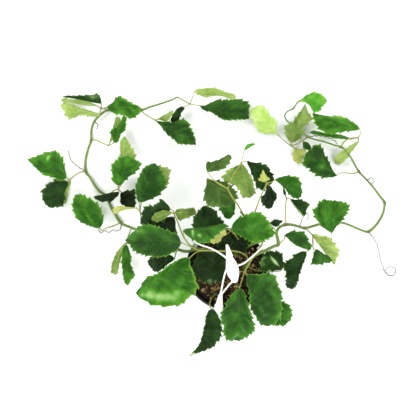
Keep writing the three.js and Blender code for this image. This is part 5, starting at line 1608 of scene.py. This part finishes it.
        Leaflet((268, 251, 28), (222, 210, 4), (4, 6, 9, 11, 9), (3, 5.5, 7.5, 9, 8), Tone.PALE, under=True,
            shade=0.25),
    )),
    "right_leaf_pale": CompoundLeaf(((168, 260, 25), (158, 254, 22), (146, 247, 17), (134, 244, 14)), (
        Leaflet((107, 267, 14), (58, 320, 12), (8, 21.5, 23, 19, 13.8), (4.5, 18.5, 14.6, 17.7, 15.7),
            Tone.LEMON, stalk=((122, 252, 14),), under=True),
        Leaflet((134, 250, 13), (163, 328, 12), (13.5, 23.7, 12.6, 7, 2), (10, 18, 15, 24, 6), Tone.FADED,
            under=True, shade=0.2, lights=((0.78, 0.32, 0.144, 0.46, 0.9), (0.58, 0.05, 0.12, 0.43, 0.5))),
        Leaflet((140, 240, 12), (150, 208, 6), (8.6, 20.8, 20.5, 11.4, 7.7), (2, 5.8, 8.6, 8.6, 4),
            Tone.YELLOW, under=True),
        Leaflet((158, 250, 20), (174, 236, 14), (4, 6, 6, 5, 3), (5, 8, 9, 7, 4), start=(158, 254, 22)),
    )),
    "right_leaf_tip": CompoundLeaf(((138, 316, 35), (142, 322, 40), (146, 328, 43)), (
        Leaflet((150, 331, 44), (206, 331, 34), (4.3, 13.8, 18, 17, 7.7), (3.4, 5, 23.5, 23.3, 6),
            Tone.LIME, lights=((0.37, -0.4, 0.214, 0.26, 0.8), (0.79, -0.83, 0.178, 0.63, 0.4),
            (0.22, -0.98, 0.107, 0.59, -0.3), (0.01, 0.8, 0.143, 1.33, 1.2))),
    )),
}


@dataclass(frozen=True)
class Pot:
    """The moulded pot with its rolled rim, drop, foot ring, flat seat and drain holes."""

    height: float = 125.0
    rim_radius: float = 80.0
    rim_drop: float = 14.0
    rim_step: float = 4.0
    base_radius: float = 56.0
    wall: float = 2.0
    wall_foot: float = 1.5
    foot_height: float = 3.0
    floor_thickness: float = 2.5
    seat_radius: float = 27.0
    drain_radius: float = 4.5
    drain_circle: float = 39.0
    drain_count: int = 6
    drill_sides: int = 28
    drill_span: Pair = (-6.0, 14.0)
    bead_radius: float = 1.9
    sides: int = 120
    sharp_angle: float = 42.0

    def wall_at(self, level: float) -> float:
        """The wall's outer radius at a height."""
        share = (level - self.wall_foot) / (self.height - self.rim_drop - self.wall_foot)
        return self.base_radius + (self.rim_radius - self.rim_step - self.base_radius) * share

    def outline(self) -> Array:
        """Draws the pot's section, from the middle of its seat out, up, over the rim and back inside.

        Returns:
            The radius and the height of each point of the section.
        """
        lip, wall_top = self.height - self.rim_drop, self.rim_radius - self.rim_step
        rim, base, foot, seat = self.rim_radius, self.base_radius, self.foot_height, self.seat_radius
        points = [(0.0, 0.0), (seat - 0.6, 0.0), (seat, 0.3), (seat + 1.2, foot - 0.4), (seat + 1.8, foot)]
        points += [(base - 7.4, foot), (base - 6.8, foot - 0.5), (base - 5.6, 0.3), (base - 5.0, 0.0)]
        points += [(base - 2.2, 0.0), (base - 0.9, 0.35), (base - 0.2, 1.0), (base, 1.8)]
        points += [(self.wall_at(level), level) for level in np.linspace(8, lip - 6, 12)]
        # A low ring runs round the wall where the mould's halves of the stacking step meet
        for level, out in ((lip - 5, 0.0), (lip - 4.4, 0.5), (lip - 2.6, 0.5), (lip - 2.0, 0.0)):
            points.append((self.wall_at(level) + out, level))
        points += [(wall_top, lip - 0.5), (wall_top + 0.5, lip), (rim - 1.4, lip), (rim - 0.5, lip + 0.3)]
        points += [(rim, lip + 1.2), (rim, self.height - 4.4), (rim - 0.25, self.height - 3.9)]
        for turn in np.radians(np.arange(-20, 201, 20)):
            out, up = self.bead_radius * (math.cos(turn) - 1), self.bead_radius * (math.sin(turn) - 1)
            points.append((rim + out, self.height + up))
        points += [(rim - 3.6, self.height - 4.6), (wall_top - 1.2, lip + 1.0)]
        points.append((wall_top - self.wall, lip - 0.6))
        top = foot + self.floor_thickness
        points += [(self.wall_at(level) - self.wall, level) for level in np.linspace(lip - 8, top + 2, 8)]
        points += [(base - self.wall - 0.6, top + 0.4), (base - self.wall - 1.6, top), (0.0, top)]
        return np.array(points)

    def shell(self) -> bpy.types.Object:
        """Turns the section into a closed shell, with no drain holes yet.

        Returns:
            The shell.
        """
        outline = self.outline()
        angles = math.tau * np.arange(self.sides) / self.sides
        inner = outline[1:-1]
        radius, level = inner[:, :1], inner[:, 1:] + 0 * angles
        ring = np.stack([radius * np.cos(angles), radius * np.sin(angles), level], -1)
        points = np.vstack([ring.reshape(-1, 3), [[0, 0, outline[0, 1]], [0, 0, outline[-1, 1]]]]) * MM
        last = (len(inner) - 1) * self.sides
        low, high = last + self.sides, last + self.sides + 1
        turns = [(c, (c + 1) % self.sides) for c in range(self.sides)]
        faces = []
        for here in range(0, last, self.sides):
            above = here + self.sides
            faces += [(here + c, here + n, above + n, above + c) for c, n in turns]
        for c, n in turns:
            faces += [(low, n, c), (high, last + c, last + n)]
        mesh = bpy.data.meshes.new("pot_shell")
        mesh.from_pydata(points.tolist(), [], faces)
        mesh.update()
        return placed("pot_shell", mesh)

    def drills(self) -> bpy.types.Object:
        """The rods that cut the drain holes.

        Returns:
            All the rods as one object.
        """
        sides = self.drill_sides
        spins = math.tau * np.arange(sides) / sides
        points, faces = [], []
        for turn in math.tau * np.arange(self.drain_count) / self.drain_count:
            x, y = self.drain_circle * math.cos(turn), self.drain_circle * math.sin(turn)
            first = len(points)
            for level in self.drill_span:
                for spin in spins:
                    out, over = self.drain_radius * math.cos(spin), self.drain_radius * math.sin(spin)
                    points.append(((x + out) * MM, (y + over) * MM, level * MM))
            for s in range(sides):
                n = (s + 1) % sides
                faces.append((first + s, first + n, first + sides + n, first + sides + s))
            faces.append(tuple(first + s for s in reversed(range(sides))))
            faces.append(tuple(first + sides + s for s in range(sides)))
        mesh = bpy.data.meshes.new("drain_drills")
        mesh.from_pydata(points, [], faces)
        return placed("drain_drills", mesh)

    def build(self, wardrobe: Wardrobe) -> None:
        """Builds the pot in the place of its solid node.

        Args:
            wardrobe: the materials.
        """
        shell, drills = self.shell(), self.drills()
        cut = shell.modifiers.new("drain_holes", "BOOLEAN")
        cut.operation = "DIFFERENCE"
        cut.solver = "EXACT"
        cut.object = drills
        graph = bpy.context.evaluated_depsgraph_get()
        mesh = bpy.data.meshes.new_from_object(shell.evaluated_get(graph))
        bpy.data.objects.remove(shell)
        bpy.data.objects.remove(drills)
        mesh.materials.clear()
        mesh.materials.append(wardrobe.of(POT_PLASTIC))
        mesh.shade_smooth()
        mesh.set_sharp_from_angle(angle=math.radians(self.sharp_angle))
        settle(placed("pot_fine", mesh), "pot_plastic", ("pot",))


@dataclass(frozen=True)
class ChipKind:
    """One kind of loose bark: the draw that it goes up to, and the ranges of its sizes."""

    up_to: float
    length: Pair
    girth: Pair
    flatness: Pair


@dataclass(frozen=True)
class PottingMix:
    """The bark mix, as one filled body with loose chips, crumbs and fibres on its top."""

    level: float = 108.0
    relief: float = 2.4
    top_radius: float = 71.6
    bottom_radius: float = 51.8
    bottom: float = 5.8
    bottom_hole: float = 6.0
    shoulder: float = 2.5
    rings: int = 54
    sides: int = 132
    chips: int = 1150
    fibres: int = 46
    fibre_steps: int = 5
    seed: int = 11
    # Crumbs, broad flakes and long splinters
    kinds: tuple[ChipKind, ...] = (
        ChipKind(0.45, (2.0, 4.2), (0.8, 1.5), (0.55, 0.9)),
        ChipKind(0.85, (4.5, 9.0), (1.3, 2.7), (0.3, 0.55)),
        ChipKind(1.0, (9.0, 15.0), (0.8, 1.4), (0.4, 0.8)),
    )
    # Where a chip's rings stand along it, and how full each of them is
    chip_steps: tuple[float, ...] = (-0.5, -0.43, -0.2, 0.08, 0.3, 0.44, 0.5)
    chip_swell: tuple[float, ...] = (0.35, 0.8, 1.0, 0.95, 0.9, 0.7, 0.3)
    chip_corners: int = 7

    def lumps(self, x: Array | float, y: Array | float) -> Array | float:
        """The height of the mix over its level, at places in millimetres.

        Args:
            x: places to the right of the middle.
            y: places behind the middle.

        Returns:
            The heights.
        """
        broad = np.sin(x * 0.19 + 1.3) * np.cos(y * 0.23) + 0.6 * np.sin(x * 0.41 - y * 0.37)
        fine = np.sin(x * 1.3 + 2 * np.sin(y * 0.9)) * np.sin(y * 1.5 + 1.7 * np.sin(x * 0.7))
        grit = np.sin(x * 3.1 + y * 2.3) * np.sin(y * 3.7 - x * 1.1 + 0.5)
        return self.relief * 0.6 * broad + 0.75 * fine + 0.3 * grit

    def build(self, wardrobe: Wardrobe) -> None:
        """Builds the body and what lies on it, in the place of its solid node.

        Args:
            wardrobe: the materials.
        """
        angles = math.tau * np.arange(self.sides) / self.sides
        rings = [(self.bottom_hole, self.bottom), (self.bottom_radius, self.bottom)]
        for share in np.linspace(0.1, 0.98, 8):
            radius = self.bottom_radius + (self.top_radius - self.bottom_radius) * share
            rings.append((radius, self.bottom + (self.level - self.shoulder - self.bottom) * share))
        for radius in np.linspace(self.top_radius, 1.0, self.rings):
            rings.append((radius, self.level + self.lumps(radius * np.cos(angles), radius * np.sin(angles))))
        round_x, round_y = np.cos(angles), np.sin(angles)
        body = np.array([np.stack([r * round_x, r * round_y, z + 0 * angles], -1) for r, z in rings])
        draft = Draft("potting_mix_fine")
        noise = 0.22 + 0.16 * np.sin(body[..., 0] * 0.83) * np.sin(body[..., 1] * 0.71)
        draft.add_rings(body, {"tint": noise, "flat": body}, longest=90.0)
        draft.build([wardrobe.of(BARK_CHIPS)], "bark_mix", ("potting_mix",))
        self.add_chips(wardrobe)
        self.add_fibres(wardrobe)

    def spot(self, luck: np.random.Generator, reach: float) -> Array:
        """Draws a place on the mix.

        Args:
            luck: the source of random numbers.
            reach: how far the place keeps from the wall.

        Returns:
            The place, with its height.
        """
        radius = (self.top_radius - reach) * math.sqrt(luck.random())
        turn = math.tau * luck.random()
        x, y = radius * math.cos(turn), radius * math.sin(turn)
        return np.array([x, y, self.level + float(self.lumps(x, y))])

    def add_chips(self, wardrobe: Wardrobe) -> None:
        """Builds the loose chips, from small crumbs to long splinters.

        Args:
            wardrobe: the materials.
        """
        luck = np.random.default_rng(self.seed)
        draft = Draft("bark_chips")
        for _ in range(self.chips):
            self.add_chip(draft, luck)
        draft.build([wardrobe.of(BARK_CHIPS)], "bark_mix")

    def add_chip(self, draft: Draft, luck: np.random.Generator) -> None:
        """Adds one chip, an uneven bar that lies nearly flat on the mix.

        Args:
            draft: the piece.
            luck: the source of random numbers.
        """
        draw = luck.random()
        kind = next(kind for kind in self.kinds if draw < kind.up_to)
        length, girth, flatness = (luck.uniform(*span) for span in (kind.length, kind.girth, kind.flatness))
        heading = math.tau * luck.random()
        pitch = luck.normal(0, 0.28)
        level = math.cos(pitch)
        along = np.array([math.cos(heading) * level, math.sin(heading) * level, math.sin(pitch)])
        across = unit(np.cross(along, UP))
        over = np.cross(across, along)
        tilt = luck.normal(0, 0.5)
        side = across * math.cos(tilt) + over * math.sin(tilt)
        upward = over * math.cos(tilt) - across * math.sin(tilt)
        middle = self.spot(luck, 2.5 + length / 2) + UP * (girth * flatness * 0.5 + luck.uniform(-0.3, 1.1))
        steps, corners = np.array(self.chip_steps), self.chip_corners
        swell = np.array(self.chip_swell) * luck.uniform(0.82, 1.15, len(steps))
        spin = math.tau * (np.arange(corners) + luck.uniform(-0.25, 0.25, corners)) / corners
        bite = luck.uniform(0.75, 1.15, (len(steps), corners)) * luck.uniform(0.8, 1.2, corners)
        wide = girth * swell[:, None] * bite * np.cos(spin)
        high = girth * flatness * swell[:, None] * bite * np.sin(spin)
        bend = luck.normal(0, 0.05) * length * (steps * 2) ** 2
        slant = steps[:, None] * length + luck.uniform(-0.3, 0.3) * wide
        bowed = side * (wide + bend[:, None])[..., None]
        rings = middle + along * slant[..., None] + bowed + upward * high[..., None]
        flat = np.stack([wide, slant, high], -1) + 23.0 * luck.random()
        draft.add_rings(rings, {"tint": luck.beta(1.15, 1.05), "flat": flat})

    def add_fibres(self, wardrobe: Wardrobe) -> None:
        """Builds thin root fibres that lie over the chips.

        Args:
            wardrobe: the materials.
        """
        luck = np.random.default_rng(self.seed + 1)
        draft = Draft("bark_fibres")
        for number in range(self.fibres):
            place = self.spot(luck, 14.0) + UP * 1.4
            heading = math.tau * luck.random()
            line = [place]
            for _ in range(self.fibre_steps):
                heading += luck.normal(0, 0.6)
                step = np.array([math.cos(heading), math.sin(heading), 0.0]) * luck.uniform(2.0, 4.0)
                after = line[-1] + step
                after[2] = self.level + float(self.lumps(after[0], after[1])) + luck.uniform(0.8, 2.0)
                line.append(after)
            places, _ = curve_through(np.array(line), 1.5)
            radius = np.linspace(0.34, 0.16, len(places))
            add_rod(draft, places, radius, 5, {"tint": luck.uniform(0.6, 0.95)}, number)
        draft.build([wardrobe.of(BARK_CHIPS)], "bark_mix")


def bar_rings(places: Array, side: Array, widths: Array, depths: Array, around: int = 24) -> Array:
    """Rings of a bar with a rounded oblong section.

    Args:
        places: the bar's line.
        side: the direction of the section's width.
        widths: half of the width at each point.
        depths: half of the thickness at each point.
        around: how many points a ring has.

    Returns:
        The points of each ring.
    """
    along = unit(np.gradient(places, axis=0))
    first = unit(side - along * np.sum(side * along, axis=1, keepdims=True))
    second = np.cross(along, first)
    angle = math.tau * (np.arange(around) + 0.5) / around
    # The lower the power, the squarer the section's corners
    squareness = 0.42
    across = np.sign(np.cos(angle)) * np.abs(np.cos(angle)) ** squareness
    through = np.sign(np.sin(angle)) * np.abs(np.sin(angle)) ** squareness
    wide = first[:, None] * (widths[:, None] * across)[..., None]
    deep = second[:, None] * (depths[:, None] * through)[..., None]
    return places[:, None] + wide + deep


def rounded(share: Array, least: float) -> Array:
    """A quarter round that rises with a share from 0 to 1 and is held above the least."""
    return np.sqrt(np.clip(1 - (1 - np.clip(share, 0, 1)) ** 2, least, 1))


def rounded_ends(count: int, reach: int) -> Array:
    """A share of the full section for each ring, which falls off over the last rings at both ends."""
    return rounded(np.minimum(np.arange(count), np.arange(count)[::-1]) / reach, 0.05)


@dataclass(frozen=True)
class Strand:
    """One strand of the hanger, with the angle and the width of its clip on the rim."""

    angle: float
    width: float
    routes: tuple[Route, ...]
    plate: Route = ()

    def outward(self) -> Array:
        """The direction from the pot's middle to the clip."""
        turn = math.radians(self.angle)
        return np.array([math.cos(turn), math.sin(turn), 0.0])

    def sideways(self) -> Array:
        """The direction along the rim at the clip."""
        return np.cross(UP, self.outward())


@dataclass(frozen=True)
class Hanger:
    """The slack moulded hanger: its plate, hook, strands and clips."""

    strand_radius: float = 1.6
    clip_thickness: float = 2.4
    clip_reach: float = 6.2
    clip_bend: float = 1.6
    clip_legs: Pair = (11.0, 7.0)
    clip_step: float = 0.9
    gap: float = 0.3
    plate_tip: float = 3.5
    plate_half_thickness: float = 1.7
    plate_waist: float = 0.08
    plate_steps: int = 22
    hub_thickness: float = 5.0
    hub_low: Point = (17.0, -31.0, 186.0)
    hub_high: Point = (5.0, 19.0, 206.0)
    hub_outline: Route = ((0, 3.5, 0), (7, 7, 0), (17, 11, 0), (30, 12, 0), (44, 9, 0), (54, 5, 0))
    hub_rounding: float = 2.5
    hook_width: float = 8.0
    hook_flare: float = 1.5
    hook_point: float = 0.6
    hook_inner: float = 10.0
    hook_outer: float = 15.0
    hook_heading: float = 1.795
    hook_turn: Pair = (-125.0, 148.0)
    hook_steps: int = 56
    strands: tuple[tuple[str, Strand], ...] = (
        ("hanger_left_strand", Strand(142, 9, (
            ((-62.5, 49, 126), (-63, 50.5, 148), (-57, 46, 171), (-45, 40, 187), (-32, 35, 196),
                (-17, 27, 201), (-4, 18, 203), (4, 10, 203)),
        ))),
        ("hanger_right_strand", Strand(31, 9, (
            ((68, 41, 126), (73, 43.5, 148), (74, 43, 166), (68, 37, 180), (56, 25, 189), (44, 14, 193),
                (32, 5, 196), (16, -1, 198)),
        ))),
        ("hanger_front_strands", Strand(259, 18, (
            ((-12, -53, 157), (-9, -39, 170), (-5, -20, 184), (0, -5, 193), (7, 5, 199)),
            ((-11, -53, 157), (-4, -45, 166), (4, -36, 177), (14, -26, 187)),
        ), ((-14.7, -76, 127), (-11.5, -52, 158)))),
    )

    def build(self, wardrobe: Wardrobe, pot: Pot) -> None:
        """Builds the four pieces of the hanger in the places of their solid nodes.

        Args:
            wardrobe: the materials.
            pot: the pot that the clips snap on.
        """
        material = [wardrobe.of(HANGER_PLASTIC)]
        draft = Draft("hanger_hook_fine")
        self.add_hub(draft)
        self.add_hook(draft)
        draft.build(material, "hanger_plastic", ("hanger_hook",))
        for name, strand in self.strands:
            draft = Draft(name + "_fine")
            for route in strand.routes:
                places, _ = curve_through(route, 2.2)
                down = travel(places)
                swell = 0.5 * near(down, 4) + 0.4 * near(down[-1] - down, 5)
                add_rod(draft, places, self.strand_radius * (0.97 + swell), 14)
            self.add_clip(draft, strand, pot)
            if strand.plate:
                self.add_plate(draft, strand)
            draft.build(material, "hanger_plastic", (name,))

    def add_hub(self, draft: Draft) -> None:
        """Adds the plate that the strands meet at, with rounded ends.

        Args:
            draft: the piece.
        """
        low, high = np.array(self.hub_low), np.array(self.hub_high)
        along = unit(high - low)
        line, _ = curve_through(self.hub_outline, 1.5)
        reach = line[:, 0]
        places = low + along * reach[:, None]
        ends = rounded(np.minimum(reach, reach[-1] - reach) / self.hub_rounding, 0.1)
        widths, depths = line[:, 1] * (0.6 + 0.4 * ends), self.hub_thickness / 2 * ends
        draft.add_rings(bar_rings(places, unit(np.cross(along, UP)), widths, depths, 36), {})

    def add_hook(self, draft: Draft) -> None:
        """Adds the open hook above the plate, a C that opens to the front and narrows away from its root.

        Args:
            draft: the piece.
        """
        middle = (self.hook_inner + self.hook_outer) / 2
        first, last = np.radians(self.hook_turn)
        turns = np.linspace(first, last, self.hook_steps)
        heading = np.array([math.cos(self.hook_heading), math.sin(self.hook_heading), 0.0])
        outward = (middle * (np.cos(turns) - math.cos(first)))[:, None]
        upward = (middle * (np.sin(turns) - math.sin(first)))[:, None]
        places = np.array(self.hub_high) + heading * outward + UP * upward
        ends = rounded_ends(len(turns), 3)
        share = outward[:, 0] / outward.max()
        width = self.hook_width / 2 * (self.hook_flare + (self.hook_point - self.hook_flare) * share)
        depth = (self.hook_outer - self.hook_inner) / 2
        draft.add_rings(bar_rings(places, np.cross(heading, UP), width * ends, depth * ends), {})

    def add_clip(self, draft: Draft, strand: Strand, pot: Pot) -> None:
        """Adds the upside-down U that snaps over the rim, as one bent bar.

        Args:
            draft: the piece.
            strand: the strand that the clip belongs to.
            pot: the pot that it snaps on.
        """
        half, bend = self.clip_thickness / 2, self.clip_bend
        outer = pot.rim_radius + self.gap + half
        inner = pot.rim_radius - self.clip_reach - half
        top = pot.height + self.gap + half
        feet = [top - half - leg for leg in self.clip_legs]
        line = [(outer, feet[0]), (outer, top - bend), (outer - 0.5, top - 0.5), (outer - bend, top)]
        line += [(inner + bend, top), (inner + 0.5, top - 0.5), (inner, top - bend), (inner, feet[1])]
        corners = np.array(line)
        dense = []
        for a, b in zip(corners[:-1], corners[1:]):
            steps = max(1, round(math.dist(a, b) / self.clip_step))
            dense += [a + (b - a) * s / steps for s in range(steps)]
        dense = np.array([*dense, corners[-1]])
        places = strand.outward() * dense[:, :1] + UP * dense[:, 1:]
        ends = rounded_ends(len(dense), 2)
        widths, depths = strand.width / 2 * (0.8 + 0.2 * ends), half * (0.5 + 0.5 * ends)
        draft.add_rings(bar_rings(places, strand.sideways(), widths, depths), {})

    def add_plate(self, draft: Draft, strand: Strand) -> None:
        """Adds the tapered plate between the front clip and its strands.

        Args:
            draft: the piece.
            strand: the strand that the plate belongs to.
        """
        low, high = (np.array(p, float) for p in strand.plate)
        share = np.linspace(0, 1, self.plate_steps)
        foot = strand.width / 2
        widths = (foot + (self.plate_tip - foot) * share) * (1 - self.plate_waist * np.sin(math.pi * share))
        ends = rounded_ends(self.plate_steps, 2)
        places = low + (high - low) * share[:, None]
        widths, depths = widths * (0.75 + 0.25 * ends), self.plate_half_thickness * ends
        draft.add_rings(bar_rings(places, strand.sideways(), widths, depths), {})


@dataclass(frozen=True)
class Softbox:
    """One square lamp: its name, its place and size in metres and its power in watts."""

    name: str
    place: Point
    size: float
    power: float


@dataclass(frozen=True)
class Studio:
    """The pale floor, the soft lights and the camera of the photograph, in metres and degrees."""

    target: Point = (-0.036, 0.130, 0.0)
    distance: float = 6.0
    tilt: float = 5.0
    lens: float = 259.6
    sensor: float = 36.0
    far_clip: float = 30.0
    floor_reach: float = 6.0
    floor_drop: float = 0.0003
    sky: str = "#fbfdff"
    sky_strength: float = 0.2
    lamps: tuple[Softbox, ...] = (
        Softbox("front_softbox", (-0.9, -1.7, 2.5), 1.2, 62.0),
        Softbox("left_softbox", (-2.4, 0.6, 2.2), 1.8, 60.0),
        Softbox("back_softbox", (-0.5, 2.6, 2.0), 1.8, 55.0),
        Softbox("right_softbox", (2.4, 0.9, 2.2), 1.8, 60.0),
        Softbox("corner_softbox", (1.7, -1.9, 2.3), 1.8, 60.0),
    )

    def build(self) -> None:
        """Sets up the floor, the lights, the sky and the camera."""
        self.add_floor()
        for lamp in self.lamps:
            self.add_lamp(lamp)
        world = bpy.data.worlds.new("studio_sky")
        world.use_nodes = True
        background = world.node_tree.nodes["Background"]
        background.inputs["Color"].default_value = linear(self.sky)
        background.inputs["Strength"].default_value = self.sky_strength
        bpy.context.scene.world = world
        bpy.context.scene.view_settings.view_transform = "Standard"
        self.add_camera()

    def add_floor(self) -> None:
        """Adds the plain floor, which isn't part of the object."""
        mesh = bpy.data.meshes.new("floor")
        reach = self.floor_reach
        corners = [(-reach, -reach, 0), (reach, -reach, 0), (reach, reach, 0), (-reach, reach, 0)]
        mesh.from_pydata(corners, [], [(0, 1, 2, 3)])
        mesh.materials.append(FloorFinish().material())
        floor = placed("floor", mesh)
        floor.location.z = -self.floor_drop

    def add_lamp(self, softbox: Softbox) -> None:
        """Adds a square lamp that faces the plant and isn't seen by the camera.

        Args:
            softbox: the lamp.
        """
        lamp = bpy.data.lights.new(softbox.name, "AREA")
        lamp.shape = "SQUARE"
        lamp.size = softbox.size
        lamp.energy = softbox.power
        holder = placed(softbox.name, lamp)
        holder.location = softbox.place
        aim = np.array(self.target) - np.array(softbox.place)
        lean = math.atan2(math.hypot(aim[0], aim[1]), -aim[2])
        holder.rotation_euler = (lean, 0.0, math.atan2(aim[0], -aim[1]) + math.pi)
        holder.visible_camera = False

    def add_camera(self) -> None:
        """Adds the camera, nearly straight above the plant."""
        lens = bpy.data.cameras.new("photo_camera")
        lens.lens = self.lens
        lens.sensor_width = self.sensor
        lens.clip_end = self.far_clip
        camera = placed("photo_camera", lens)
        lean = math.radians(self.tilt)
        x, y, z = self.target
        camera.location = (x, y - self.distance * math.sin(lean), z + self.distance * math.cos(lean))
        camera.rotation_euler = (lean, 0.0, 0.0)
        bpy.context.scene.camera = camera


def main() -> None:
    """Builds the studio and the plant, and reports each piece."""
    logging.basicConfig(level=logging.INFO, format="%(message)s")
    Studio().build()
    wardrobe = Wardrobe()
    pot = Pot()
    pot.build(wardrobe)
    PottingMix().build(wardrobe)
    Hanger().build(wardrobe, pot)
    for serial, (name, shoot) in enumerate(SHOOTS.items()):
        shoot.grow(name, serial + 1, wardrobe)
    for serial, (name, leaf) in enumerate(LEAVES.items()):
        leaf.grow(name, serial + 1, wardrobe)


if __name__ == "__main__":
    main()
